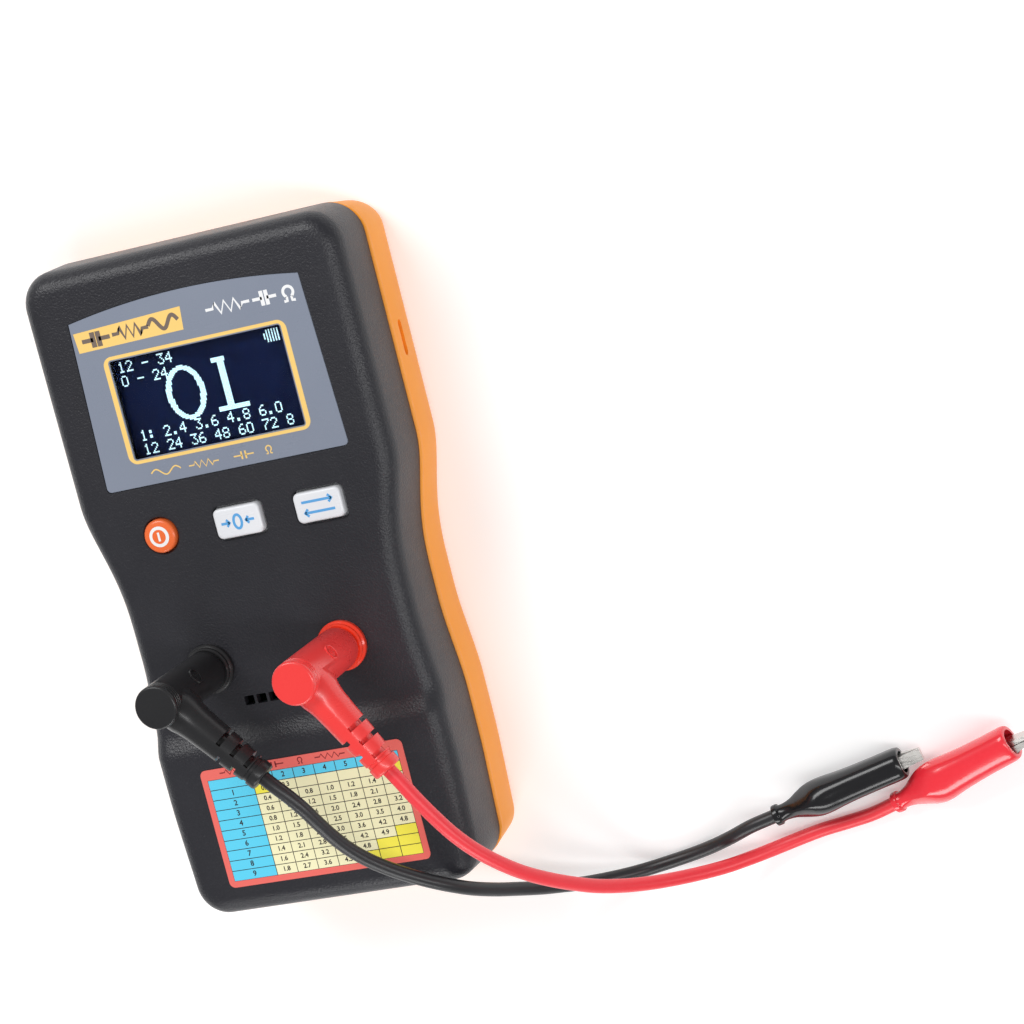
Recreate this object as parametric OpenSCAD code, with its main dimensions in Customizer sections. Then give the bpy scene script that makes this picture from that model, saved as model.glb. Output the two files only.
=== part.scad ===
// Handheld meter for the series resistance of capacitors, with two test leads.
// It lies on its back: +X is to the right, +Y to the display end, +Z out of the face.
// The origin is the middle of the case's footprint, on the surface that it lies on.

/* [Case] */
// Length of the case along Y
case_l = 187; // [180:1:194]
// Half width of the case beside the display
shoulder_w = 48.7; // [47:0.1:50]
// Half width of the case at the waist, between the buttons and the sockets
waist_w = 42.9; // [42:0.1:44]
// Half width of the case below the sockets
hip_w = 44.7; // [44:0.1:46]
// Height of the face above the back
face_z = 37.5; // [36:0.5:40]
// Height of the line where the two shells meet
part_z = 18.5; // [17.5:0.5:19]
// Height of the raised lower face above the main face
step_h = 2.5; // [1:0.5:3]
// Wall thickness of both shells
wall = 2.3; // [2:0.1:2.6]
// Corner radius of the outline
corner_r = 10; // [9:0.5:12]
// Radius of the front shell's face edge
face_r = 5.5; // [5:0.5:6]
// Radius of the back shell's rear edge
rear_r = 5; // [4:0.5:6]

/* [Display] */
// Middle of the display window along Y
lcd_y = 52; // [50:0.5:53]
// Width of the display window
lcd_w = 51.2; // [48:0.2:52]
// Height of the display window
lcd_h = 27.6; // [26:0.2:28]
// Width of the display panel
panel_w = 72.6; // [70:0.2:74]
// Lower edge of the display panel along Y
panel_y = 30.6; // [30:0.2:31]
// Upper edge of the display panel along Y, at its corners
panel_top = 77.7; // [76:0.1:78]
// Rise of the panel's arched upper edge
panel_rise = 3.2; // [2:0.2:4]

/* [Buttons] */
// Height of the button row along Y
button_y = 16.4; // [16:0.2:17]
// Distance between neighbouring buttons
button_pitch = 24; // [22:0.5:25]
// Width and height of a rectangular button
key_size = [13.8, 8.4]; // [8:0.2:14]
// Diameter of the round power button
power_d = 9.4; // [9:0.1:9.6]
// Height that the buttons stand above the face
button_rise = 1.6; // [1.2:0.1:2]
// Travel of each button
button_travel = 1; // [0.5:0.1:1.2]

/* [Sockets and plugs] */
// Distance between the two sockets
socket_pitch = 40; // [39:0.5:41]
// Height of the sockets along Y
socket_y = -22.5; // [-23:0.5:-22]
// Diameter of a socket's flange
flange_d = 14; // [13.5:0.1:14.5]
// Diameter of a plug's pin
pin_d = 3.96; // [3.94:0.01:4]
// Bore of a socket's contact sleeve
sleeve_bore = 4.04; // [4.03:0.01:4.06]
// Depth that a pin reaches into its sleeve
pin_depth = 12; // [10:0.5:12]
// Diameter of a plug's barrel
barrel_d = 12; // [11.6:0.1:12.2]
// Height of a plug above the face
plug_h = 38; // [37:0.5:39]
// Height of a plug's side arm above the face
arm_h = 30; // [29:0.5:30.5]
// Length of a plug's side arm from the barrel's axis
arm_l = 33; // [30:0.5:34]

/* [Leads] */
// Diameter of a test lead
cord_d = 4; // [3.6:0.1:4.2]
// Length of a clip's boot
boot_l = 39; // [38:0.5:41]
// Length of a clip's metal jaws, from the boot's cord end
jaw_tip = 44.5; // [43:0.5:47]

/* [Batteries, door and stand] */
// Diameter of a cell
cell_d = 14.3; // [14:0.1:14.5]
// Length of a cell without its cap
cell_l = 49.3; // [49:0.1:49.5]
// Half width of the battery door
door_w = 27; // [26:0.5:28]
// Inner end of the battery door along Y
door_y = -28; // [-29:0.5:-27]
// Width of the tilt stand
stand_w = 44; // [40:1:44]
// Hinge of the tilt stand along Y
stand_y = 62; // [60:1:63]
// Length of the tilt stand from its hinge
stand_l = 58; // [50:1:58]

/* [Hidden] */
$fn = 48;

// Routes of the two leads, from the plug's arm to the clip, chosen by hand
black_route = [[1.2, -47.8, 67.5], [3.6, -50.7, 67.3], [6.2, -54.2, 66.4], [8.7, -58.6, 64.8],
    [10.7, -63.5, 62.7], [12.7, -68.5, 60.2], [15.2, -73.4, 57.5], [18.3, -77.8, 54.8],
    [22, -81.8, 52], [26, -85.4, 49.2], [30.2, -88.8, 46.2], [34.5, -92.1, 42.6],
    [38.6, -95.5, 37.7], [42.7, -98.6, 31.8], [46.9, -101.2, 26], [51.4, -103.6, 20.5],
    [56.1, -105.5, 15.5], [61.2, -107, 11.3], [66.5, -107.9, 7.8], [72.2, -108.3, 5],
    [78.1, -108.1, 3.1], [84.3, -107.3, 2.3], [90.8, -106.1, 2.4], [97.4, -104.4, 3.3],
    [104, -102, 5], [110.7, -99.3, 6.5], [118, -97.3, 6.9]];
red_route = [[36.5, -51.1, 67.5], [38.5, -54.5, 67.3], [41.4, -60, 66.7], [44.6, -66.1, 65.4],
    [47.9, -72.3, 63.3], [51.4, -78.1, 60.3], [55.3, -83.5, 56.5], [59.5, -88.6, 51.9],
    [63.9, -93.1, 46.6], [68.4, -97.2, 40.8], [73.1, -100.8, 35], [78.3, -103.6, 29.2],
    [84, -105.7, 23.7], [89.8, -107.2, 18.5], [95.6, -108.2, 13.8], [101.7, -108.7, 9.6],
    [108, -108.4, 6.2], [114.6, -107.5, 3.8], [121.7, -106.1, 2.5], [128.9, -104.6, 2.1],
    [136.2, -103.5, 2.1], [143.5, -102.2, 2.3], [150.8, -99.8, 3.3]];
// Heading of each plug's arm, and place and turn of each clip: roll, pitch and heading
black_arm = -50;
red_arm = -60;
black_clip = [[118, -97.3, 6.9], [0, 2, 14]];
red_clip = [[150.8, -99.8, 3.3], [-80, -10, 20.5]];

end_y = case_l / 2;
draft = 1; // lean of the front shell's walls
step_y = [-38.5, -46]; // slope between the main face and the raised lower face
gap = 0.2; // slack between a moving piece and its opening
board_z = 20.4;
board_t = 1.6;
board_top = board_z + board_t;
inner_z = face_z - wall;
socket_x = socket_pitch / 2;
lcd_board_z = 29.9;
recess = 0.6; // depth of the display panel's recess
label_size = [61, 34.5];
label_y = -67.4;
screw_places = [[40, 82], [-40, 82], [36.2, -80], [-36.2, -80]];
board_screw_places = [[35, 74], [-35, 74], [34, -6], [-34, -6]];
cell_x = 7.6;
cell_z = 10.3;
holder_y = -58;
holder_l = 55; // room for a cell and its spring
tip_y = 27.15; // reach of each cell's cap from the middle of the holder
nub = 1;
stand_z = 1.9;
pocket_w = stand_w / 2 + 0.5;
clip_pivot = 20;
lip = 1; // depth of the lip that holds the door

// Smooth rise from 0 to 1
function ease(t) = let (u = min(1, max(0, t))) u * u * (3 - 2 * u);

// Half width of the case at a place along Y: shoulder, waist, hip and a slight taper
function half_width(y) =
    waist_w + (shoulder_w - waist_w) * ease(pow(max(0, (y + 12) / 40), 1.45))
    + (hip_w - waist_w) * ease((-18 - y) / 27) - 1.1 * ease((-56 - y) / 36);

// Height of the face at a place along Y
function face_at(y) = face_z + step_h * ease((step_y[0] - y) / (step_y[0] - step_y[1]));

// Right half of the outline from the top to the bottom, set in from the sides and ends
function half_outline(side, end) = let (
    top = end_y - corner_r,
    top_x = half_width(top) - corner_r,
    low_x = half_width(-top) - corner_r,
    steps = 30)
    concat([for (a = [90:-15:0]) [top_x + (corner_r - side) * cos(a), top + (corner_r - end) * sin(a)]],
        [for (i = [1:steps - 1]) let (y = top - 2 * top * i / steps) [half_width(y) - side, y]],
        [for (a = [0:-15:-90]) [low_x + (corner_r - side) * cos(a), -top + (corner_r - end) * sin(a)]]);

// Whole outline, with the left half a mirror of the right
function outline(side, end) = let (right = half_outline(side, end), n = len(right))
    concat(right, [for (i = [n - 1:-1:0]) [-right[i][0], right[i][1]]]);

// Solid through levels of the outline. A level is [height, side inset, end inset, follows the face].
module loft(levels) {
    rings = [for (l = levels) [for (p = outline(l[1], l[2])) [p[0], p[1],
        l[0] + (l[3] ? face_at(p[1]) : 0)]]];
    n = len(rings[0]);
    m = len(rings);
    points = [for (ring = rings) for (p = ring) p];
    sides = [for (k = [0:m - 2]) for (i = [0:n - 1]) let (j = (i + 1) % n)
        [k * n + i, k * n + j, (k + 1) * n + j, (k + 1) * n + i]];
    top = [for (i = [0:n / 2 - 2]) let (t = (m - 1) * n) [t + i, t + i + 1, t + n - 2 - i,
        t + n - 1 - i]];
    bottom = [for (i = [0:n / 2 - 2]) [n - 1 - i, n - 2 - i, i + 1, i]];
    polyhedron(points = points, faces = concat(sides, top, bottom), convexity = 4);
}

// Tube of round section swept through points, with its end faces square to the route
function unit(v) = v / norm(v);
module sweep(route, d, sides) {
    last = len(route) - 1;
    along = [for (i = [0:last]) unit(route[min(i + 1, last)] - route[max(i - 1, 0)])];
    points = [for (i = [0:last]) let (x = unit(cross(along[i], [0.1, 0.2, 1])), y = cross(along[i], x))
        for (k = [0:sides - 1]) route[i] + d / 2 * (cos(360 * k / sides) * x + sin(360 * k / sides) * y)];
    walls = [for (i = [0:last - 1]) for (k = [0:sides - 1]) let (j = (k + 1) % sides)
        [i * sides + k, (i + 1) * sides + k, (i + 1) * sides + j, i * sides + j]];
    start = [for (k = [0:sides - 1]) k];
    finish = [for (k = [sides - 1:-1:0]) last * sides + k];
    polyhedron(points = points, faces = concat(walls, [start, finish]), convexity = 8);
}

// Solid through rounded oval stations [x, half width, half height, centre height]
module oval_loft(stations, sides) {
    m = len(stations);
    points = [for (s = stations) for (k = [0:sides - 1]) let (a = 360 * k / sides)
        [s[0], s[1] * cos(a), s[3] + s[2] * sin(a)]];
    walls = [for (i = [0:m - 2]) for (k = [0:sides - 1]) let (j = (k + 1) % sides)
        [i * sides + k, (i + 1) * sides + k, (i + 1) * sides + j, i * sides + j]];
    start = [for (k = [0:sides - 1]) k];
    finish = [for (k = [sides - 1:-1:0]) (m - 1) * sides + k];
    polyhedron(points = points, faces = concat(walls, [start, finish]), convexity = 4);
}

// Rounded rectangle of true arcs
module plate(w, h, r, t) {
    linear_extrude(t) {
        square([w - 2 * r, h], center = true);
        square([w, h - 2 * r], center = true);
        for (x = [r - w / 2, w / 2 - r], y = [r - h / 2, h / 2 - r]) translate([x, y]) circle(r);
    }
}

module centred_box(size, at) {
    translate([at[0] - size[0] / 2, at[1] - size[1] / 2, at[2]]) cube(size);
}

module post(at, d, z0, z1) {
    translate([at[0], at[1], z0]) cylinder(d = d, h = z1 - z0);
}

module at_button(k) {
    translate([k * button_pitch, button_y, 0]) children();
}

module at_socket(side) {
    translate([side * socket_x, socket_y, face_z]) children();
}

module at_clip(clip) {
    translate(clip[0]) rotate(clip[1]) children();
}

// Outer form of the back shell, which the battery door shares
module back_form() {
    loft(concat(
        [for (a = [90:-30:0]) [rear_r * (1 - sin(a)), rear_r * (1 - cos(a)),
            1.2 + rear_r * (1 - cos(a)), false]],
        [[part_z - 1.2, -0.5, 0.2, false], [part_z, 0, 0.1, false]]));
}

module panel_shape(slack) {
    arch_r = (pow(panel_w / 2, 2) + pow(panel_rise, 2)) / (2 * panel_rise);
    intersection() {
        translate([-panel_w / 2 - slack, panel_y - slack])
            square([panel_w + 2 * slack, panel_top + panel_rise - panel_y + 2 * slack]);
        translate([0, panel_top + panel_rise - arch_r]) circle(arch_r + slack, $fn = 360);
    }
}

module front_shell() {
    color("#2b2b2e") difference() {
        union() {
            difference() {
                loft(concat([[part_z, 0, 0, false]],
                    [for (a = [0:30:90]) [face_r * (sin(a) - 1), draft + face_r * (1 - cos(a)),
                        draft / 2 + face_r * (1 - cos(a)), true]]));
                loft([[part_z - 1, wall, wall, false], [-face_r, draft + wall, draft / 2 + wall, true],
                    [-face_r + 2.2, draft + 3.3, draft / 2 + 3.3, true], [-wall, draft + face_r,
                        draft / 2 + face_r, true]]);
            }
            for (p = screw_places) post(p, 7, part_z, face_at(p[1]) - 1);
            for (p = board_screw_places) post(p, 6, board_top, face_z - 1);
        }
        translate([0, 0, face_z - recess]) linear_extrude(recess + 1) panel_shape(0.1);
        centred_box([54.4, 31.4, 6], [0, lcd_y, face_z - 5]);
        at_button(-1) cylinder(d = power_d + 0.8, h = face_z + 1);
        for (k = [0, 1]) at_button(k) plate(key_size[0] + 1.2, key_size[1] + 1.2, 1.8, face_z + 1);
        for (side = [-1, 1]) at_socket(side) translate([0, 0, -10]) cylinder(d = 12.1, h = 12);
        for (k = [-3:3]) centred_box([2.9, 2.6, 8], [k * 3.7, -33.2, face_z - 5]);
        for (p = screw_places) post(p, 3, part_z - 1, part_z + 11);
        for (p = board_screw_places) post(p, 2.4, board_z, board_top + 7);
    }
}

module back_shell() {
    color("#ffa64d") difference() {
        union() {
            difference() {
                back_form();
                loft([[wall + 0.1, rear_r + 0.5, rear_r + 1.2, false], [rear_r, wall, wall + 1.2, false],
                    [part_z + 1, wall - 0.4, wall, false]]);
            }
            for (p = screw_places) post(p, 9, 1, part_z);
            centred_box([2 * pocket_w + 8, 75, 4.8], [0, 30.5, 1]);
            centred_box([63, 65, 2.7], [0, -58.5, 1]);
        }
        // Openings for the cells and the sliding door
        centred_box([32, holder_l + 0.4, 6], [0, holder_y, -1]);
        translate([-door_w - gap, -end_y - 1, -1]) cube([2 * (door_w + gap),
            end_y + 1 + door_y + gap, 3.2]);
        translate([-door_w - 1.5 - gap, -end_y - 1, lip]) cube([2 * (door_w + 1.5 + gap),
            end_y + 1 + door_y + gap, 1.2]);
        // Pocket, finger notch and pivot bores of the tilt stand
        translate([-pocket_w, stand_y - stand_l - 0.5, -1]) cube([2 * pocket_w, stand_l + 3, 4.7]);
        centred_box([16, 6, 3.6], [0, stand_y - stand_l - 3, -1]);
        translate([-pocket_w - 3, stand_y, stand_z]) rotate([0, 90, 0]) cylinder(d = 2.6,
            h = 2 * pocket_w + 6);
        // Blind slots in the side walls
        for (side = [-1, 1]) translate([side * (shoulder_w + 0.1), 53, 11.5]) cube([2.6, 10, 2.6],
            center = true);
        for (p = screw_places) {
            post(p, 3.3, -1, part_z + 1);
            post(p, 6.2, -1, 9);
        }
    }
}

module display_panel() {
    color("#8f97a8") difference() {
        translate([0, 0, face_z - recess]) linear_extrude(0.5) panel_shape(0);
        centred_box([lcd_w, lcd_h, 3], [0, lcd_y, face_z - 2]);
    }
}

module display_window() {
    color("#c8d8e0", 0.5) centred_box([54, 31, 1.2], [0, lcd_y, face_z - recess - 1.2]);
}

module lcd_frame() {
    color("silver") difference() {
        centred_box([60, 38, 3.7], [0, lcd_y, lcd_board_z + board_t]);
        centred_box([lcd_w + 1, lcd_h + 1, 9], [0, lcd_y, lcd_board_z]);
        centred_box([58.6, 36.6, 3], [0, lcd_y, lcd_board_z + board_t - 0.1]);
    }
}

module lcd_glass() {
    color("#141d33") centred_box([58, 36, 1.2], [0, lcd_y, lcd_board_z + board_t + 1.7]);
}

module lcd_backlight() {
    color("#e8f2ff") centred_box([58, 36, 1.6], [0, lcd_y, lcd_board_z + board_t + 0.05]);
}

module lcd_board() {
    color("#1f6b3a") centred_box([62, 44, board_t], [0, lcd_y, lcd_board_z]);
}

module lcd_header() {
    strip_y = lcd_y - 20;
    color("#222222") centred_box([52, 2.5, 2.5], [0, strip_y, board_top]);
    color("gold") for (k = [-9.5:9.5]) centred_box([0.6, 0.6, lcd_board_z - board_top - 2.5],
        [k * 2.54, strip_y, board_top + 2.5]);
}

module main_board() {
    color("#1f6b3a") difference() {
        centred_box([78, 117, board_t], [0, 18.5, board_z]);
        for (side = [-1, 1]) post([side * socket_x, socket_y], 3.4, board_z - 1, board_top + 1);
        for (p = board_screw_places) post(p, 2.8, board_z - 1, board_top + 1);
    }
}

// Square chip body with legs on two sides
module chip(size, at, legs) {
    color("#1a1a1a") centred_box([size[0], size[1], 1.6], [at[0], at[1], board_top + 0.2]);
    color("silver") for (side = [-1, 1], k = [0:legs - 1])
        centred_box([1.6, 0.5, 0.3], [at[0] + side * (size[0] / 2 + 0.6), at[1] + (k - (legs - 1)
            / 2) * 1.27, board_top]);
}

module controller_chip() {
    chip([10, 16], [0, 52], 12);
}

module analog_chips() {
    for (x = [-24, -8, 8, 24]) chip([4.4, 5.4], [x, 0], 4);
}

module film_capacitors() {
    color("#b03a2e") for (x = [-9, 0, 9]) centred_box([7.2, 4.5, 8], [x, -14.5, board_top]);
}

module power_capacitors() {
    color("#20304a") for (x = [-28, -20]) post([x, 66], 6.3, board_top, board_top + 7);
}

module clock_crystal() {
    color("silver") translate([18, 54, board_top]) plate(11, 4.6, 2.2, 3.5);
}

module power_coil() {
    color("#303030") post([28, 66], 9, board_top, board_top + 4.5);
}

module small_resistors() {
    color("#26262a") for (x = [-30:6:30], y = [6, 27, 38]) centred_box([3.2, 1.6, 0.6], [x, y,
        board_top]);
}

module key_switches() {
    for (k = [-1:1]) at_button(k) color("#222222") difference() {
        centred_box([6, 6, 3.5], [0, 0, board_top]);
        post([0, 0], 3.6, board_top + 1.2, board_top + 4);
    }
}

module buzzer() {
    color("#181818") difference() {
        post([0, -33.2], 12, board_top, board_top + 8.5);
        post([0, -33.2], 2, board_top + 6, board_top + 9);
    }
}

module socket(side, tint) {
    color(tint) at_socket(side) difference() {
        union() {
            cylinder(d = flange_d, h = 1.7);
            cylinder(d = 12.8, h = 3);
            translate([0, 0, board_top + 0.2 - face_z]) cylinder(d = 12, h = face_z - board_top);
        }
        translate([0, 0, -pin_depth - 1]) cylinder(d = 9.2, h = pin_depth + 5);
        translate([0, 0, -20]) cylinder(d = 5.5, h = 21);
    }
}

module black_socket() {
    socket(-1, "#1c1c1f");
}

module red_socket() {
    socket(1, "#d8202a");
}

module sleeve(side) {
    color("#c8a34a") at_socket(side) difference() {
        union() {
            translate([0, 0, -pin_depth - 2]) cylinder(d = 5.4, h = pin_depth + 2);
            translate([0, 0, board_z - 1 - face_z]) cylinder(d = 3.2, h = face_z - board_z - pin_depth);
        }
        translate([0, 0, -pin_depth - 1]) cylinder(d = sleeve_bore, h = pin_depth + 2);
    }
}

module black_sleeve() {
    sleeve(-1);
}

module red_sleeve() {
    sleeve(1);
}

module socket_nuts() {
    for (side = [-1, 1]) color("#303034") translate([side * socket_x, socket_y, inner_z - 2.6])
        difference() {
        cylinder(d = 17, h = 2.5, $fn = 6);
        translate([0, 0, -1]) cylinder(d = 12.1, h = 5);
    }
}

module reference_label() {
    color("#f0655f") translate([0, label_y, face_z + step_h]) plate(label_size[0], label_size[1],
        1.6, 0.2);
}

module battery_holder() {
    color("#202022") difference() {
        centred_box([34, holder_l + 3, 15.3], [0, holder_y, 3.9]);
        centred_box([31, holder_l, 14.5], [0, holder_y, 3.1]);
    }
}

// Place along Y of a cell's flat end; the left cell points to +Y, the right one to -Y
function flat_end(side) = holder_y - side * (tip_y - nub - cell_l);

module cell(side) {
    translate([side * cell_x, flat_end(side), cell_z]) rotate([90 * side, 0, 0]) {
        color("#2f6fb0") cylinder(d = cell_d, h = cell_l);
        color("silver") translate([0, 0, cell_l]) cylinder(d = 5.4, h = nub);
    }
}

module left_cell() {
    cell(-1);
}

module right_cell() {
    cell(1);
}

module battery_springs() {
    turns = 3;
    steps = 12;
    for (side = [-1, 1]) {
        start = flat_end(side) + side * 0.35;
        finish = holder_y + side * tip_y;
        color("silver") sweep([for (i = [0:turns * steps]) let (t = i / (turns * steps),
            r = 2.5 + 1.8 * t)
            [side * cell_x + r * cos(360 * i / steps), start + (finish - start) * t,
            cell_z + r * sin(360 * i / steps)]], 0.6, 6);
    }
}

module battery_plates() {
    color("silver") {
        translate([-cell_x - 5, holder_y + holder_l / 2 - 0.3, cell_z - 5]) cube([10, 0.3, 10]);
        translate([cell_x - 5, holder_y - holder_l / 2, cell_z - 5]) cube([10, 0.3, 10]);
    }
}

module screw(at, d, head_d, z0, z1, head_h) {
    color("#b8b8bc") {
        difference() {
            post(at, head_d, z0 - head_h, z0);
            centred_box([head_d * 0.7, 0.7, 0.8], [at[0], at[1], z0 - head_h - 0.1]);
            centred_box([0.7, head_d * 0.7, 0.8], [at[0], at[1], z0 - head_h - 0.1]);
        }
        post(at, d, z0, z1);
    }
}

module case_screws() {
    for (p = screw_places) screw(p, 2.9, 5.5, 9, part_z + 9, 2.2);
}

module board_screws() {
    for (p = board_screw_places) screw(p, 2.3, 4.6, board_z, board_top + 6, 1.6);
}

module battery_door() {
    color("#ffa64d") difference() {
        intersection() {
            back_form();
            union() {
                translate([-door_w, -end_y, 0]) cube([2 * door_w, end_y + door_y, 2]);
                translate([-door_w - 1.5, -end_y, lip + 0.15]) cube([2 * door_w + 3, end_y + door_y,
                    0.85]);
            }
        }
        for (k = [0:4]) centred_box([18, 1.2, 1], [0, -40 - 3 * k, -0.5]);
    }
}

module tilt_stand() {
    color("#2b2b2e") {
        difference() {
            union() {
                centred_box([stand_w, stand_l - 2, 2.3], [0, stand_y - stand_l / 2 - 1, stand_z - 1.4]);
                translate([-stand_w / 2, stand_y, stand_z]) rotate([0, 90, 0]) cylinder(r = 1.4,
                    h = stand_w);
                centred_box([stand_w, 3, 2.3], [0, stand_y - 1.5, stand_z - 1.4]);
            }
            centred_box([stand_w - 12, stand_l - 16, 1.2], [0, stand_y - stand_l / 2 - 1, stand_z - 1.6]);
        }
        translate([-pocket_w - 2.5, stand_y, stand_z]) rotate([0, 90, 0]) cylinder(d = 2.5,
            h = 2 * pocket_w + 5);
    }
}

module power_button() {
    top = face_z + button_rise;
    color("#f0572e") at_button(-1) {
        translate([0, 0, board_top + 5]) cylinder(d = 5, h = inner_z - board_top - 5.5);
        translate([0, 0, inner_z - 1.2]) cylinder(d = power_d + 2.4, h = 1);
        translate([0, 0, inner_z - 0.7]) cylinder(d = power_d, h = top - inner_z - 0.3);
        rotate_extrude() intersection() {
            translate([0, top - 15]) circle(15, $fn = 96);
            translate([0, top - 1.2]) square([power_d / 2, 1.2]);
        }
    }
}

module key_button(k) {
    top = face_z + button_rise;
    color("#f4f5f7") at_button(k) {
        translate([0, 0, board_top + 5]) cylinder(d = 5, h = inner_z - board_top - 5.5);
        translate([0, 0, inner_z - 1.2]) plate(key_size[0] + 3, key_size[1] + 3, 1.6, 1);
        translate([0, 0, inner_z - 0.7]) plate(key_size[0], key_size[1], 1.5, top - inner_z + 0.2);
        translate([0, 0, top - 0.6]) plate(key_size[0] - 0.8, key_size[1] - 0.8, 1.1, 0.6);
    }
}

module zero_button() {
    key_button(0);
}

module mode_button() {
    key_button(1);
}

module plunger(k) {
    color("#e8e8e8") at_button(k) post([0, 0], 3.4, board_top + 2.8, board_top + 5);
}

module power_plunger() {
    plunger(-1);
}

module zero_plunger() {
    plunger(0);
}

module mode_plunger() {
    plunger(1);
}

// Right-angle plug: shroud, ringed barrel and a side arm with a slotted strain relief
module plug(side, heading, tint) {
    neck = 3.4;
    color(tint) at_socket(side) difference() {
        union() {
            translate([0, 0, -pin_depth]) cylinder(d = 8.8, h = pin_depth + neck + 1);
            translate([0, 0, neck]) rotate_extrude() polygon([[0, 0], [5.4, 0], [barrel_d / 2, 1.5],
                [barrel_d / 2, 30], [5.5, 30.2], [5.5, 30.6], [5.9, 30.7], [5.9, 31.3], [5.5, 31.4],
                    [5.5, 31.8],
                [5.9, 31.9], [5.9, 33.6], [5.2, plug_h - neck], [0, plug_h - neck]]);
            translate([0, 0, arm_h]) rotate([0, 0, heading]) rotate([0, 90, 0]) rotate_extrude()
                polygon([[0, 0], [5.2, 0], [5, 8], [4.6, 17], [4.6, 18], [3.9, arm_l - 1], [3.7,
                    arm_l], [0, arm_l]]);
        }
        translate([0, 0, -pin_depth - 1]) cylinder(d = 6, h = pin_depth + 1.2);
        translate([0, 0, -1]) cylinder(d = pin_d, h = 25.5);
        translate([0, 0, arm_h]) rotate([0, 0, heading]) for (k = [0:4], s = [-1, 1])
            if ((k % 2 == 0) == (s > 0))
            centred_box([1.3, 4, 12], [19.5 + 2.6 * k, 3.9 * s, -6]);
    }
}

module black_plug() {
    plug(-1, black_arm, "#1c1c1f");
}

module red_plug() {
    plug(1, red_arm, "#f03a42");
}

module plug_pin(side) {
    color("#c8a34a") at_socket(side) difference() {
        union() {
            translate([0, 0, 0.5 - pin_depth]) cylinder(d = pin_d, h = pin_depth + 24);
            translate([0, 0, -pin_depth]) cylinder(d = pin_d - 1, h = 2);
        }
        for (a = [0, 90]) rotate([0, 0, a]) centred_box([0.5, 6, 7], [0, 0, 1 - pin_depth]);
    }
}

module black_plug_pin() {
    plug_pin(-1);
}

module red_plug_pin() {
    plug_pin(1);
}

module black_cord() {
    color("#1c1c1f") sweep(black_route, cord_d, 10);
}

module red_cord() {
    color("#f03a42") sweep(red_route, cord_d, 10);
}

// Soft cover of a clip: collar, neck, wide grip and open mouth
module boot(clip, tint) {
    outer = [[0, 2.8, 2.8, 0], [1.6, 2.8, 2.8, 0], [1.8, 2.4, 2.4, 0], [4.5, 2.6, 2.9, 0], [8, 3.8,
        4.6, 0],
        [11, 4.8, 5.9, 0], [14, 5, 6.1, 0], [18, 4.8, 5.8, 0.1], [24, 4.5, 5.2, 0.3], [32, 4.4, 5, 0.5],
        [boot_l - 0.8, 4.3, 4.9, 0.6], [boot_l, 4, 4.6, 0.6]];
    inner = [[6, 2.6, 2.7, 0], [8, 3.1, 3.8, 0], [11, 4.1, 5.2, 0], [14, 4.3, 5.4, 0], [18, 4.1,
        5.1, 0.1],
        [24, 3.8, 4.5, 0.3], [32, 3.7, 4.3, 0.5], [boot_l + 1, 3.6, 4.2, 0.6]];
    color(tint) at_clip(clip) difference() {
        oval_loft(outer, 20);
        oval_loft(inner, 20);
    }
}

module black_boot() {
    boot(black_clip, "#1c1c1f");
}

module red_boot() {
    boot(red_clip, "#f03a42");
}

// Side profile pushed across the clip's width
module across(width, profile) {
    translate([0, width / 2, 0]) rotate([90, 0, 0]) linear_extrude(width) polygon(profile);
}

module jaw_plan(width, tip) {
    translate([0, 0, -8]) linear_extrude(16) polygon([[6, -0.28 * width], [11, -width / 2], [34,
        -width / 2],
        [jaw_tip, -tip], [jaw_tip, tip], [34, width / 2], [11, width / 2], [6, 0.28 * width]]);
}

module fixed_jaw(clip) {
    profile = [[6.5, -1.6], [6.5, 0], [14, 0.4], [17.6, 2.2], [22.4, 2.2], [24.5, 0.2], [jaw_tip, -0.05],
        [jaw_tip, -1], [39, -2.2], [25, -2.8], [12, -2.8]];
    inside = [[5, -1], [5, 3], [jaw_tip - 1.2, 3], [jaw_tip - 1.2, -0.6], [38.5, -1.7], [25, -2.3],
        [12, -2.3]];
    color("silver") at_clip(clip) difference() {
        intersection() {
            across(5.2, profile);
            jaw_plan(5.2, 1.6);
        }
        intersection() {
            across(4.2, inside);
            jaw_plan(4.2, 1.1);
        }
        translate([clip_pivot, 5, 0]) rotate([90, 0, 0]) cylinder(d = 1.6, h = 10);
    }
}

module moving_jaw(clip) {
    profile = [[10.5, 3.4], [10.5, 4.1], [15, 3.2], [24, 2.6], [38, 1.7], [jaw_tip, 1], [jaw_tip, 0.05],
        [24.5, 0.3], [22, -1.4], [18, -1.4], [15.5, 1.2]];
    inside = [[16.4, 2.3], [24, 2], [38, 1.1], [jaw_tip - 1.2, 0.5], [jaw_tip - 1.2, -1], [24.5, -1],
        [22, -2], [16, -2]];
    color("silver") at_clip(clip) difference() {
        intersection() {
            across(3.9, profile);
            jaw_plan(3.9, 1.6);
        }
        intersection() {
            across(2.9, inside);
            jaw_plan(2.9, 1.1);
        }
        translate([clip_pivot, 5, 0]) rotate([90, 0, 0]) cylinder(d = 1.7, h = 10);
    }
}

module jaw_pin(clip) {
    color("#a8a8ac") at_clip(clip) translate([clip_pivot, 3.3, 0]) rotate([90, 0, 0])
        cylinder(d = 1.6, h = 6.6);
}

module jaw_spring(clip) {
    turns = 3;
    steps = 10;
    color("#8c8c90") at_clip(clip) sweep([for (i = [0:turns * steps])
        [clip_pivot + 1.15 * cos(360 * i / steps), 1.2 - 2.4 * i / (turns * steps),
            1.15 * sin(360 * i / steps)]], 0.4, 6);
}

module black_fixed_jaw() {
    fixed_jaw(black_clip);
}

module black_moving_jaw() {
    moving_jaw(black_clip);
}

module black_jaw_pin() {
    jaw_pin(black_clip);
}

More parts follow.
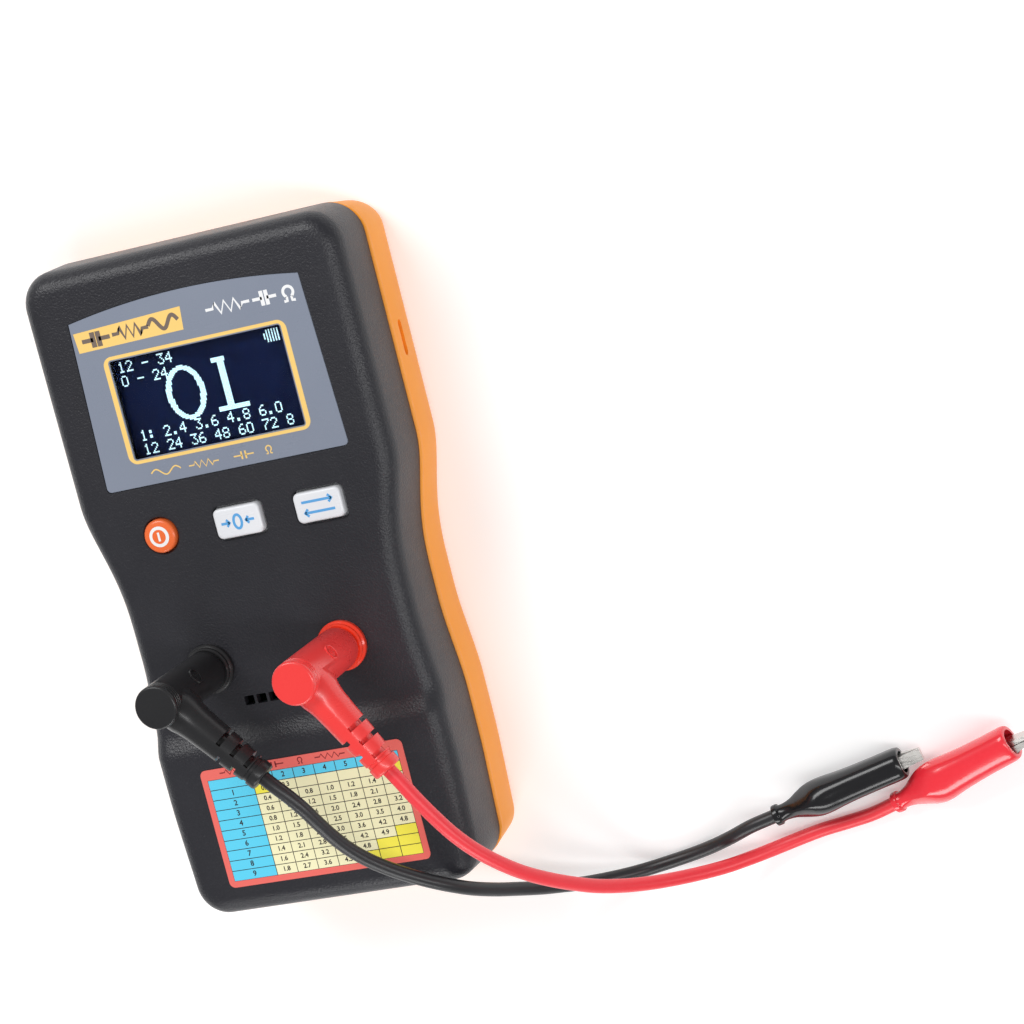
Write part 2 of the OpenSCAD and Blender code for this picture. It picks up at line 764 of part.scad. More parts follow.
module black_jaw_spring() {
    jaw_spring(black_clip);
}

module red_fixed_jaw() {
    fixed_jaw(red_clip);
}

module red_moving_jaw() {
    moving_jaw(red_clip);
}

module red_jaw_pin() {
    jaw_pin(red_clip);
}

module red_jaw_spring() {
    jaw_spring(red_clip);
}

front_shell();
back_shell();
display_panel();
display_window();
lcd_frame();
lcd_glass();
lcd_backlight();
lcd_board();
lcd_header();
main_board();
controller_chip();
analog_chips();
film_capacitors();
power_capacitors();
clock_crystal();
power_coil();
small_resistors();
key_switches();
buzzer();
black_socket();
red_socket();
black_sleeve();
red_sleeve();
socket_nuts();
reference_label();
battery_holder();
left_cell();
right_cell();
battery_springs();
battery_plates();
case_screws();
board_screws();
battery_door();
tilt_stand();
power_button();
zero_button();
mode_button();
power_plunger();
zero_plunger();
mode_plunger();
black_plug();
black_plug_pin();
black_cord();
black_boot();
black_fixed_jaw();
black_moving_jaw();
black_jaw_pin();
black_jaw_spring();
red_plug();
red_plug_pin();
red_cord();
red_boot();
red_fixed_jaw();
red_moving_jaw();
red_jaw_pin();
red_jaw_spring();
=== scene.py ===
import math

import bmesh
import bpy
import numpy as np
from mathutils import Matrix, Vector


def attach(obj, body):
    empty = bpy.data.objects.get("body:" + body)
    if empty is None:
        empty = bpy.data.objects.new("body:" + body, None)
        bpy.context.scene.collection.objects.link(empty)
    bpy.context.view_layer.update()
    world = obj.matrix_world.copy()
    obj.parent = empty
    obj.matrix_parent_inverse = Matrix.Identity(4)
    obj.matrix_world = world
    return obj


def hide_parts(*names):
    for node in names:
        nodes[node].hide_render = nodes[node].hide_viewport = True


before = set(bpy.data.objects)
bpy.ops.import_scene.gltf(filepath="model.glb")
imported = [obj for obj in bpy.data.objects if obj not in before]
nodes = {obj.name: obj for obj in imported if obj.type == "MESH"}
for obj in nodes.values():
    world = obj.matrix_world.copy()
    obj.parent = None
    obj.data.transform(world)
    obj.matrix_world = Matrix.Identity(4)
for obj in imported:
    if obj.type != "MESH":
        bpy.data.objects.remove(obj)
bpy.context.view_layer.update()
mm = 0.001  # every size below is in millimetres, and becomes metres in the mesh


# ---- camera and light ----
def showObject(obj):
    bpy.context.scene.collection.objects.link(obj)


view = dict(
    place=(316.43, 120.16, 722.02), right=(0.92793, -0.24029, -0.28498), up=(0.17901, 0.95783, -0.22476),
    back=(0.32697, 0.15754, 0.93181), lens=98.44)


def makeCamera(s):
    data = bpy.data.cameras.new("camera")
    data.lens = s["lens"]
    data.sensor_width = 36
    data.clip_end = 20
    camera = bpy.data.objects.new("camera", data)
    turn = Matrix((s["right"], s["up"], s["back"])).transposed().to_4x4()
    camera.matrix_world = Matrix.Translation(Vector(s["place"]) * mm) @ turn
    showObject(camera)
    bpy.context.scene.camera = camera


lights = [
    dict(name="softboxTop", place=(-380, 700, 840), aim=(0, 0, 20), size=(700, 420), power=7),
    dict(name="stripRight", place=(640, -160, 880), aim=(30, 0, 20), size=(160, 1100), power=4.3),
    dict(name="fillLow", place=(-100, -900, 520), aim=(60, -60, 10), size=(700, 300), power=4),
]


def makeLight(s):
    data = bpy.data.lights.new(s["name"], "AREA")
    data.shape = "RECTANGLE"
    data.size, data.size_y = (v * mm for v in s["size"])
    data.energy = s["power"]
    lamp = bpy.data.objects.new(s["name"], data)
    place = Vector(s["place"]) * mm
    lamp.location = place
    lamp.rotation_euler = (place - Vector(s["aim"]) * mm).to_track_quat("Z", "Y").to_euler()
    showObject(lamp)


worldStrength = 0.31


def makeWorld(strength):
    world = bpy.data.worlds.new("studio")
    world.use_nodes = True
    background = world.node_tree.nodes["Background"]
    background.inputs["Color"].default_value = (1, 1, 1, 1)
    background.inputs["Strength"].default_value = strength
    bpy.context.scene.world = world
    bpy.context.scene.view_settings.view_transform = "Standard"


# ---- shader groups ----
def newGroup(name, inputs, outputs):
    group = bpy.data.node_groups.new(name, "ShaderNodeTree")
    for label, kind, value in inputs:
        made = group.interface.new_socket(label, in_out="INPUT", socket_type="NodeSocket" + kind)
        if value is not None:
            made.default_value = value
    for label, kind in outputs:
        group.interface.new_socket(label, in_out="OUTPUT", socket_type="NodeSocket" + kind)
    return group, group.nodes.new("NodeGroupInput"), group.nodes.new("NodeGroupOutput")


def mathNode(tree, operation, *values, clamp=False):
    node = tree.nodes.new("ShaderNodeMath")
    node.operation = operation
    node.use_clamp = clamp
    for socket, value in zip(node.inputs, values):
        if isinstance(value, (int, float)):
            socket.default_value = value
        else:
            tree.links.new(value, socket)
    return node.outputs[0]


def noiseNode(tree, vector, scale, detail=3.0, roughness=0.55):
    node = tree.nodes.new("ShaderNodeTexNoise")
    tree.links.new(vector, node.inputs["Vector"])
    if isinstance(scale, (int, float)):
        node.inputs["Scale"].default_value = scale
    else:
        tree.links.new(scale, node.inputs["Scale"])
    node.inputs["Detail"].default_value = detail
    node.inputs["Roughness"].default_value = roughness
    return node.outputs["Fac"]


def makeGrainGroup():
    # pebbled height: cells of two sizes plus noise; shade is the same grain with slow clouds in it
    group, start, end = newGroup(
        "pebbledGrain", [("Vector", "Vector", None), ("Scale", "Float", 2000.0), ("Pebble", "Float", 0.5)],
        [("Height", "Float"), ("Shade", "Float")])
    vector, scale, pebble = (start.outputs[k] for k in range(3))
    cells = group.nodes.new("ShaderNodeTexVoronoi")
    cells.feature = "SMOOTH_F1"
    group.links.new(vector, cells.inputs["Vector"])
    group.links.new(scale, cells.inputs["Scale"])
    fine = noiseNode(group, vector, mathNode(group, "MULTIPLY", scale, 1.7), 2.0)
    mixed = mathNode(group, "ADD", mathNode(group, "MULTIPLY", cells.outputs["Distance"], pebble),
                     mathNode(group, "MULTIPLY", fine, mathNode(group, "SUBTRACT", 1.0, pebble)))
    clouds = noiseNode(group, vector, 38.0, 4.0)
    shade = mathNode(group, "ADD", mathNode(group, "MULTIPLY", mixed, 0.6),
                     mathNode(group, "MULTIPLY", clouds, 0.4))
    group.links.new(mixed, end.inputs["Height"])
    group.links.new(shade, end.inputs["Shade"])
    return group


def makeHandlingGroup():
    # roughness between Low and High: finger marks as slow noise, hairline rubs as noise stretched along X
    group, start, end = newGroup(
        "handling", [("Vector", "Vector", None), ("Low", "Float", 0.3), ("High", "Float", 0.4),
                     ("Rub", "Float", 0.2)],
        [("Roughness", "Float"), ("Marks", "Float")])
    vector, low, high, rub = (start.outputs[k] for k in range(4))
    slow = noiseNode(group, vector, 55.0, 5.0, 0.6)
    stretch = group.nodes.new("ShaderNodeMapping")
    stretch.inputs["Scale"].default_value = (60.0, 1800.0, 900.0)
    group.links.new(vector, stretch.inputs["Vector"])
    hairs = noiseNode(group, stretch.outputs["Vector"], 1.0, 2.0)
    marks = mathNode(group, "ADD", mathNode(group, "MULTIPLY", slow, mathNode(group, "SUBTRACT", 1.0, rub)),
                     mathNode(group, "MULTIPLY", hairs, rub), clamp=True)
    spread = group.nodes.new("ShaderNodeMapRange")
    spread.inputs["From Min"].default_value = 0.3
    spread.inputs["From Max"].default_value = 0.7
    group.links.new(marks, spread.inputs["Value"])
    group.links.new(low, spread.inputs["To Min"])
    group.links.new(high, spread.inputs["To Max"])
    group.links.new(spread.outputs["Result"], end.inputs["Roughness"])
    group.links.new(marks, end.inputs["Marks"])
    return group


groups = dict(grain=makeGrainGroup(), handling=makeHandlingGroup())

# A finish: colour, second colour of its clouds, roughness range, grain scale, pebble share and depth in mm
finishes = dict(
    caseBlack=dict(color=(0.014, 0.014, 0.018), cloud=(0.03, 0.03, 0.037), rough=(0.31, 0.43), grain=1900,
        pebble=0.6, depth=0.17, rub=0.25, shine=0.42),
    caseOrange=dict(color=(0.97, 0.32, 0.02), cloud=(1.0, 0.38, 0.04), rough=(0.34, 0.46), grain=1600,
        pebble=0.5, depth=0.03, rub=0.2, shine=0.35),
    panelFilm=dict(color=(0.2, 0.23, 0.3), cloud=(0.27, 0.3, 0.37), rough=(0.22, 0.34), grain=3000,
        pebble=0.1, depth=0.006, rub=0.1),
    windowClear=dict(color=(0.9, 0.94, 0.96), cloud=(0.92, 0.95, 0.97), rough=(0.02, 0.05), grain=900,
        depth=0.0006, clear=1.0, ior=1.12),
    displayDark=dict(color=(0.003, 0.006, 0.026), cloud=(0.01, 0.02, 0.075), rough=(0.12, 0.2), grain=400,
        depth=0.001, shine=0.1),
    displayDots=dict(color=(0.6, 0.85, 0.9), cloud=(0.7, 0.95, 1.0), rough=(0.4, 0.5), grain=2000,
        depth=0.001, glow=(0.62, 0.9, 1.0), glowPower=0.75),
    backlight=dict(color=(0.75, 0.85, 0.95), cloud=(0.85, 0.9, 0.95), rough=(0.4, 0.5), grain=900,
        depth=0.002),
    keyWhite=dict(color=(0.8, 0.82, 0.86), cloud=(0.86, 0.87, 0.9), rough=(0.22, 0.32), grain=2200,
        depth=0.008),
    keyRed=dict(color=(0.87, 0.13, 0.03), cloud=(0.93, 0.2, 0.05), rough=(0.22, 0.32), grain=2200,
        depth=0.008),
    glossBlack=dict(color=(0.012, 0.012, 0.013), cloud=(0.024, 0.024, 0.026), rough=(0.26, 0.4), grain=1300,
        pebble=0.3, depth=0.012, coat=0.08, shine=0.35),
    glossRed=dict(color=(0.86, 0.035, 0.035), cloud=(0.92, 0.06, 0.055), rough=(0.24, 0.36), grain=1300,
        pebble=0.3, depth=0.012, coat=0.25),
    socketRed=dict(color=(0.92, 0.03, 0.01), cloud=(0.95, 0.06, 0.02), rough=(0.16, 0.26), grain=1500,
        depth=0.006, coat=0.4),
    cordBlack=dict(color=(0.014, 0.014, 0.016), cloud=(0.024, 0.024, 0.027), rough=(0.3, 0.44), grain=900,
        pebble=0.3, depth=0.02),
    cordRed=dict(color=(0.84, 0.03, 0.045), cloud=(0.9, 0.055, 0.07), rough=(0.3, 0.42), grain=900,
        pebble=0.3, depth=0.02),
    vinylBlack=dict(color=(0.006, 0.006, 0.007), cloud=(0.014, 0.014, 0.016), rough=(0.14, 0.24), grain=500,
        pebble=0.2, depth=0.02, coat=0.2, shine=0.35),
    vinylRed=dict(color=(0.86, 0.02, 0.035), cloud=(0.92, 0.04, 0.06), rough=(0.15, 0.26), grain=500,
        pebble=0.2, depth=0.02, coat=0.5),
    nickel=dict(color=(0.62, 0.6, 0.57), cloud=(0.74, 0.72, 0.69), rough=(0.16, 0.36), grain=1500,
        depth=0.006, metal=1.0, rub=0.7),
    steel=dict(color=(0.5, 0.5, 0.51), cloud=(0.62, 0.62, 0.63), rough=(0.24, 0.42), grain=1500,
        depth=0.006, metal=1.0, rub=0.8),
    frameDark=dict(color=(0.02, 0.02, 0.022), cloud=(0.035, 0.035, 0.04), rough=(0.4, 0.55), grain=1500,
        depth=0.01),
    brass=dict(color=(0.78, 0.56, 0.24), cloud=(0.86, 0.65, 0.32), rough=(0.16, 0.32), grain=1500,
        depth=0.006, metal=1.0, rub=0.6),
    boardGreen=dict(color=(0.012, 0.12, 0.045), cloud=(0.02, 0.2, 0.08), rough=(0.28, 0.4), grain=1200,
        pebble=0.7, depth=0.02),
    partBlack=dict(color=(0.018, 0.018, 0.018), cloud=(0.035, 0.035, 0.035), rough=(0.42, 0.6), grain=2200,
        depth=0.02),
    filmRed=dict(color=(0.42, 0.05, 0.02), cloud=(0.5, 0.08, 0.03), rough=(0.2, 0.32), grain=1200,
        depth=0.01),
    canBlue=dict(color=(0.02, 0.05, 0.14), cloud=(0.03, 0.08, 0.2), rough=(0.22, 0.34), grain=1200,
        depth=0.008),
    cellWrap=dict(color=(0.03, 0.13, 0.4), cloud=(0.05, 0.18, 0.5), rough=(0.2, 0.32), grain=1200,
        depth=0.008, coat=0.3),
)


def addInks(kind, rough, depth, tints):
    # printed colours of one kind share their roughness range, grain and depth
    for tint, (color, cloud) in tints.items():
        finishes[kind + tint] = dict(color=color, cloud=cloud, rough=rough, grain=2600, depth=depth)


addInks("ink", (0.3, 0.42), 0.003, dict(
    Yellow=((0.93, 0.6, 0.16), (0.98, 0.68, 0.24)), White=((0.86, 0.87, 0.88), (0.95, 0.95, 0.95)),
    Brown=((0.16, 0.12, 0.1), (0.22, 0.17, 0.14)), Blue=((0.09, 0.36, 0.74), (0.14, 0.44, 0.82))))
addInks("ink", (0.35, 0.5), 0.003, dict(
    Black=((0.02, 0.015, 0.015), (0.04, 0.03, 0.03)), Maroon=((0.22, 0.01, 0.02), (0.3, 0.03, 0.03))))
addInks("label", (0.28, 0.4), 0.004, dict(
    Red=((0.82, 0.13, 0.11), (0.88, 0.19, 0.16)), Cyan=((0.07, 0.64, 0.87), (0.16, 0.66, 0.92)),
    Cream=((0.9, 0.86, 0.52), (0.94, 0.9, 0.6)), Yellow=((0.93, 0.83, 0.06), (0.97, 0.88, 0.12))))


def makeFinish(name, s):
    material = bpy.data.materials.new(name)
    material.use_nodes = True
    tree = material.node_tree
    shader = tree.nodes["Principled BSDF"]
    place = tree.nodes.new("ShaderNodeTexCoord").outputs["Object"]
    grain = tree.nodes.new("ShaderNodeGroup")
    grain.node_tree = groups["grain"]
    tree.links.new(place, grain.inputs["Vector"])
    grain.inputs["Scale"].default_value = s["grain"]
    grain.inputs["Pebble"].default_value = s.get("pebble", 0.4)
    handling = tree.nodes.new("ShaderNodeGroup")
    handling.node_tree = groups["handling"]
    tree.links.new(place, handling.inputs["Vector"])
    handling.inputs["Low"].default_value, handling.inputs["High"].default_value = s["rough"]
    handling.inputs["Rub"].default_value = s.get("rub", 0.2)
    blend = tree.nodes.new("ShaderNodeMix")
    blend.data_type = "RGBA"
    blend.inputs["A"].default_value = (*s["color"], 1)
    blend.inputs["B"].default_value = (*s["cloud"], 1)
    tree.links.new(grain.outputs["Shade"], blend.inputs["Factor"])
    tree.links.new(blend.outputs["Result"], shader.inputs["Base Color"])
    tree.links.new(handling.outputs["Roughness"], shader.inputs["Roughness"])
    bump = tree.nodes.new("ShaderNodeBump")
    bump.inputs["Strength"].default_value = 1.0
    bump.inputs["Distance"].default_value = s["depth"] * mm
    tree.links.new(grain.outputs["Height"], bump.inputs["Height"])
    tree.links.new(bump.outputs["Normal"], shader.inputs["Normal"])
    plain = {"Metallic": s.get("metal", 0.0), "Coat Weight": s.get("coat", 0.0), "Coat Roughness": 0.12,
             "Transmission Weight": s.get("clear", 0.0), "Specular IOR Level": s.get("shine", 0.5),
             "IOR": s.get("ior", 1.5)}
    for label, value in plain.items():
        shader.inputs[label].default_value = value
    if "glow" in s:
        shader.inputs["Emission Color"].default_value = (*s["glow"], 1)
        shader.inputs["Emission Strength"].default_value = s["glowPower"]
    return material


finish = {name: makeFinish(name, s) for name, s in finishes.items()}
print("finishes made", len(finish))


# ---- shapes: a shape is (points, faces) in millimetres ----
def gridFaces(rows, cols, closeRows=False, closeCols=True):
    # quads of a grid of points, with its columns or rows joined round when asked
    i = np.arange(rows if closeRows else rows - 1)[:, None]
    k = np.arange(cols if closeCols else cols - 1)[None, :]
    down, across = (i + 1) % rows, (k + 1) % cols
    quads = np.stack([i * cols + k, i * cols + across, down * cols + across, down * cols + k], -1)
    return quads.reshape(-1, 4).tolist()


def ringShape(rings, closed=False):
    # rings of points joined in order, then capped, or joined round to the first ring
    rings = np.asarray(rings, float)
    m, n = rings.shape[:2]
    faces = gridFaces(m, n, closeRows=closed)
    if not closed:
        faces += [list(range(n))[::-1], list(range((m - 1) * n, m * n))]
    return rings.reshape(-1, 3), faces


def join(shapes):
    points, faces, count = [], [], 0
    for p, f in shapes:
        points.append(p)
        faces += [[v + count for v in face] for face in f]
        count += len(p)
    return np.concatenate(points), faces


def revolve(profile, at=(0, 0, 0), sides=64, closed=False):
    # each profile point (radius, height) goes round the Z axis
    a = np.linspace(0, 2 * np.pi, sides, endpoint=False)
    r, z = np.asarray(profile, float).T
    rings = np.stack([r[:, None] * np.cos(a), r[:, None] * np.sin(a), np.repeat(z[:, None], sides, 1)], -1)
    return ringShape(rings + np.asarray(at, float), closed)


def turn(roll, pitch, yaw):
    return np.array(Matrix.Rotation(math.radians(yaw), 3, "Z") @ Matrix.Rotation(math.radians(pitch), 3,
            "Y")
                    @ Matrix.Rotation(math.radians(roll), 3, "X"))


def place(shape, at, roll=0, pitch=0, yaw=0):
    return shape[0] @ turn(roll, pitch, yaw).T + np.asarray(at, float), shape[1]


def roundRect(w, h, r, steps=6, at=(0, 0)):
    # corner arcs of radius r in order round the rectangle
    a = np.radians(np.linspace(0, 90, steps + 1))
    corners = [(w / 2 - r, h / 2 - r, 0), (r - w / 2, h / 2 - r, 90), (r - w / 2, r - h / 2, 180),
               (w / 2 - r, r - h / 2, 270)]
    arcs = [np.stack([x + r * np.cos(a + math.radians(t)), y + r * np.sin(a + math.radians(t))], -1) for x,
            y, t in corners]
    return np.concatenate(arcs) + np.asarray(at, float)


def prism(outline, levels):
    # the outline at each (height, inset) level; the inset moves points towards the outline's middle per axis
    middle = (outline.max(0) + outline.min(0)) / 2
    half = (outline.max(0) - outline.min(0)) / 2
    rings = [np.column_stack([middle + (outline - middle) * (1 - inset / half), np.full(len(outline), z)])
             for z, inset in levels]
    return ringShape(rings)


def slab(x0, x1, y0, y1, z0, z1):
    xy = np.array([(x0, y0), (x1, y0), (x1, y1), (x0, y1)], float)
    return ringShape([np.column_stack([xy, np.full(4, z)]) for z in (z0, z1)])


def rod(r, length, at, roll=0, pitch=0, yaw=0, sides=40):
    # a cylinder that starts at its place and runs along local Z
    return place(revolve([(r, 0), (r, length)], sides=sides), at, roll, pitch, yaw)


def band(outer, inner, z0, z1):
    # a flat ring between two outlines with the same number of points
    rings = [np.column_stack([line, np.full(len(line), z)])
             for line, z in ((outer, z0), (outer, z1), (inner, z1), (inner, z0))]
    return ringShape(rings, closed=True)


def ribbon(line, width, z0, z1):
    # a flat stroke: the line's points pushed half the width to each side of its direction
    line = np.asarray(line, float)
    along = np.gradient(line, axis=0)
    along /= np.linalg.norm(along, axis=1)[:, None]
    side = np.column_stack([-along[:, 1], along[:, 0]]) * width / 2
    ring = [np.column_stack([line + sign * side, np.full(len(line), z)])
            for sign, z in ((1, z0), (1, z1), (-1, z1), (-1, z0))]
    return ringShape(np.stack(ring, 1))


def makeObject(name, shape, body=None, look=None, stands=(), sharp=32):
    mesh = bpy.data.meshes.new(name)
    mesh.from_pydata((shape[0] * mm).tolist(), [], shape[1])
    work = bmesh.new()
    work.from_mesh(mesh)
    bmesh.ops.remove_doubles(work, verts=work.verts, dist=1e-7)
    bmesh.ops.recalc_face_normals(work, faces=work.faces)
    work.to_mesh(mesh)
    work.free()
    obj = bpy.data.objects.new(name, mesh)
    showObject(obj)
    if body:
        finishPiece(obj, body, look, stands, sharp)
    return obj


def finishPiece(obj, body, look, stands=(), sharp=32):
    mesh = obj.data
    mesh.materials.clear()
    mesh.materials.append(finish[look])
    mesh.polygons.foreach_set("material_index", np.zeros(len(mesh.polygons), np.int32))
    mesh.polygons.foreach_set("use_smooth", np.ones(len(mesh.polygons), bool))
    mesh.set_sharp_from_angle(angle=math.radians(sharp))
    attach(obj, body)
    if stands:
        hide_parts(*stands)


def carve(obj, steps):
    # each step is an operation and its shapes, applied in order
    for operation, shapes in steps:
        tool = makeObject("tool", join(shapes))
        change = obj.modifiers.new("carve", "BOOLEAN")
        change.operation = operation
        change.solver = "EXACT"
        change.use_self = len(shapes) > 1
        change.object = tool
        done = bpy.data.meshes.new_from_object(obj.evaluated_get(bpy.context.evaluated_depsgraph_get()))
        obj.modifiers.clear()
        obj.data = done
        bpy.data.objects.remove(tool)


# ---- the two leads: routes from the plug's arm to the clip ----
leads = dict(
    black=dict(
        side=-1, heading=-50, plug="glossBlack", cord="cordBlack", boot="vinylBlack",
        clip=((118, -97.3, 6.9), (0, 2, 14)), socket="glossBlack",
        route=[(1.2, -47.8, 67.5), (3.6, -50.7, 67.3), (6.2, -54.2, 66.4), (8.7, -58.6, 64.8),
            (10.7, -63.5, 62.7), (12.7, -68.5, 60.2), (15.2, -73.4, 57.5), (18.3, -77.8, 54.8),
            (22, -81.8, 52), (26, -85.4, 49.2), (30.2, -88.8, 46.2), (34.5, -92.1, 42.6),
            (38.6, -95.5, 37.7), (42.7, -98.6, 31.8), (46.9, -101.2, 26), (51.4, -103.6, 20.5),
            (56.1, -105.5, 15.5), (61.2, -107, 11.3), (66.5, -107.9, 7.8), (72.2, -108.3, 5),
            (78.1, -108.1, 3.1), (84.3, -107.3, 2.3), (90.8, -106.1, 2.4), (97.4, -104.4, 3.3),
            (104, -102, 5), (110.7, -99.3, 6.5), (118, -97.3, 6.9)]),
    red=dict(
        side=1, heading=-60, plug="glossRed", cord="cordRed", boot="vinylRed",
        clip=((150.8, -99.8, 3.3), (-80, -10, 20.5)), socket="socketRed",
        route=[(36.5, -51.1, 67.5), (38.5, -54.5, 67.3), (41.4, -60, 66.7), (44.6, -66.1, 65.4),
            (47.9, -72.3, 63.3), (51.4, -78.1, 60.3), (55.3, -83.5, 56.5), (59.5, -88.6, 51.9),
            (63.9, -93.1, 46.6), (68.4, -97.2, 40.8), (73.1, -100.8, 35), (78.3, -103.6, 29.2),
            (84, -105.7, 23.7), (89.8, -107.2, 18.5), (95.6, -108.2, 13.8), (101.7, -108.7, 9.6),
            (108, -108.4, 6.2), (114.6, -107.5, 3.8), (121.7, -106.1, 2.5), (128.9, -104.6, 2.1),
            (136.2, -103.5, 2.1), (143.5, -102.2, 2.3), (150.8, -99.8, 3.3)]),
)
lead = dict(diameter=3.88, sides=24, perSpan=6)


def smoothPath(route, perSpan):
    # Catmull-Rom curve: each span is a cubic through its two ends with the neighbours' slopes
    p = np.vstack([2 * route[0] - route[1], route, 2 * route[-1] - route[-2]])
    t = np.linspace(0, 1, perSpan, endpoint=False)[None, :, None]
    a, b, c, d = (p[k:len(p) - 3 + k, None, :] for k in range(4))
    bend, twist = 2 * a - 5 * b + 4 * c - d, 3 * b - a - 3 * c + d
    line = 0.5 * (2 * b + (c - a) * t + bend * t ** 2 + twist * t ** 3)
    return np.vstack([line.reshape(-1, route.shape[1]), route[-1]])


def tube(line, radius, sides):
    # circles square to the line, with their across direction kept level
    along = np.gradient(line, axis=0)
    along /= np.linalg.norm(along, axis=1)[:, None]
    across = np.cross(along, (0.1, 0.2, 1.0))
    across /= np.linalg.norm(across, axis=1)[:, None]
    above = np.cross(across, along)
    a = np.linspace(0, 2 * np.pi, sides, endpoint=False)[None, :, None]
    return ringShape(line[:, None] + radius * (np.cos(a) * across[:, None] + np.sin(a) * above[:, None]))


def makeCord(name, s):
    line = smoothPath(np.array(s["route"]), lead["perSpan"])
    obj = makeObject(name + "Cord", tube(line, lead["diameter"] / 2, lead["sides"]), name + "_lead",
                     s["cord"],
                     [name + "_cord"])
    return obj, line


makeCamera(view)
for lightSettings in lights:
    makeLight(lightSettings)
makeWorld(worldStrength)
cords = {name: makeCord(name, s) for name, s in leads.items()}


# ---- clip boots ----
bootShape = dict(
    wall=0.8, sides=72, count=92, hollowFrom=7.5,
    # distance along, half width, half height, roundness (2 is an oval, less is a lozenge), middle's height
    stations=[(0, 2.75, 2.75, 2, 0), (0.25, 2.95, 2.95, 2, 0), (1.5, 2.95, 2.95, 2, 0),
              (1.8, 2.5, 2.55, 2, 0),
              (3.2, 2.4, 2.6, 1.8, 0), (5.5, 2.8, 3.3, 1.5, 0), (8, 3.8, 4.6, 1.35, 0), (10.5, 4.7, 5.7,
                      1.4, 0),
              (13, 5.1, 6.2, 1.7, 0.05), (16, 5, 6.1, 2.1, 0.1), (20, 4.65, 5.6, 2.3, 0.2), (25, 4.45, 5.2,
                      2.4, 0.3),
              (31, 4.4, 5, 2.4, 0.45), (36.5, 4.4, 4.95, 2.4, 0.55), (38, 4.3, 4.85, 2.4, 0.6),
              (38.8, 4.05, 4.6, 2.4, 0.6), (39, 3.75, 4.3, 2.4, 0.6)])


def ovalRings(stations, sides, shrink=0.0):
    # superellipse rings: (|cos| / width) ^ p + (|sin| / height) ^ p = 1 at each distance along X
    x, w, h, p, z = (np.array(v, float)[:, None] for v in zip(*stations))
    a = np.linspace(0, 2 * np.pi, sides, endpoint=False)[None, :]
    c, s = np.cos(a), np.sin(a)
    r = ((np.abs(c) / (w - shrink)) ** p + (np.abs(s) / (h - shrink)) ** p) ** (-1 / p)
    return np.stack([np.broadcast_to(x, r.shape), r * c, z + r * s], -1)


def densify(stations, count):
    # stations at even distances, on a smooth curve through the given ones
    line = np.array(stations, float)
    fine = smoothPath(line, 6)
    return fine[np.linspace(0, len(fine) - 1, count).round().astype(int)]


def makeBoot(name, s):
    # the outside from end to end, then back along the inside as far as the hollow goes
    outer = densify(bootShape["stations"], bootShape["count"])
    inner = [q for q in outer if q[0] > bootShape["hollowFrom"]][::-1]
    outside = ovalRings([tuple(q) for q in outer], bootShape["sides"])
    inside = ovalRings([tuple(q) for q in inner], bootShape["sides"], bootShape["wall"])
    at, (roll, pitch, yaw) = s["clip"]
    shape = place(ringShape(np.concatenate([outside, inside])), at, roll, pitch, yaw)
    return makeObject(name + "Boot", shape, name + "_lead", s["boot"], [name + "_boot"],
                      50)


boots = {name: makeBoot(name, s) for name, s in leads.items()}
print("leads laid")


# ---- the case ----
case = dict(
    endY=93.5, shoulder=48.7, waist=42.9, hip=44.7, faceZ=37.5, partZ=18.5, stepH=2.5, step=(-38.5, -46),
    cornerR=10, faceR=5.5, rearR=5, draft=1.0, wall=2.3, steps=96, arc=10, across=14)


def ease(t):
    u = np.clip(t, 0, 1)
    return u * u * (3 - 2 * u)


def halfWidth(y):
    # shoulder, waist and hip joined by smooth rises, then a slight taper
    y = np.asarray(y, float)
    return (case["waist"] + (case["shoulder"] - case["waist"]) * ease(np.clip((y + 12) / 40, 0,
            None) ** 1.45)
            + (case["hip"] - case["waist"]) * ease((-18 - y) / 27) - 1.1 * ease((-56 - y) / 36))


def faceAt(y):
    high, low = case["step"]
    return case["faceZ"] + case["stepH"] * ease((high - np.asarray(y, float)) / (high - low))


def caseOutline(side, end):
    # right half from the top to the bottom with corner arcs, then its mirror image
    r, top = case["cornerR"], case["endY"] - case["cornerR"]
    a = np.radians(np.linspace(90, 0, case["arc"] + 1))
    y = np.linspace(top, -top, case["steps"] + 1)[1:-1]
    upper = np.column_stack([halfWidth(top) - r + (r - side) * np.cos(a), top + (r - end) * np.sin(a)])
    lower = np.column_stack([halfWidth(-top) - r + (r - side) * np.cos(a),
                             -top - (r - end) * np.sin(a)])[::-1]
    right = np.concatenate([upper, np.column_stack([halfWidth(y) - side, y]), lower])
    return np.concatenate([right, right[::-1] * (-1, 1)])


def caseLoft(levels):
    # outlines at (height, side inset, end inset, follows the face), closed with left-to-right strips
    rings = []
    for z, side, end, follows in levels:
        line = caseOutline(side, end)
        rings.append(np.column_stack([line, z + (faceAt(line[:, 1]) if follows else 0 * line[:, 1])]))
    rings = np.array(rings)
    n = rings.shape[1]
    t = np.linspace(0, 1, case["across"])[None, :, None]
    lids = []
    for ring in (rings[0], rings[-1]):
        right, left = ring[:n // 2, None], ring[n // 2:][::-1][:, None]
        lids.append(((right * (1 - t) + left * t).reshape(-1, 3),
                     gridFaces(n // 2, case["across"], closeCols=False)))
    return join([(rings.reshape(-1, 3), gridFaces(len(rings), n))] + lids)


def filletLevels(r, side, end, z, follows, count=9):
    # a quarter round from the wall up to the face
    a = np.radians(np.linspace(0, 90, count))
    return [(z - r * (1 - math.sin(t)), side + r * (1 - math.cos(t)), end + r * (1 - math.cos(t)),
             follows) for t in a]


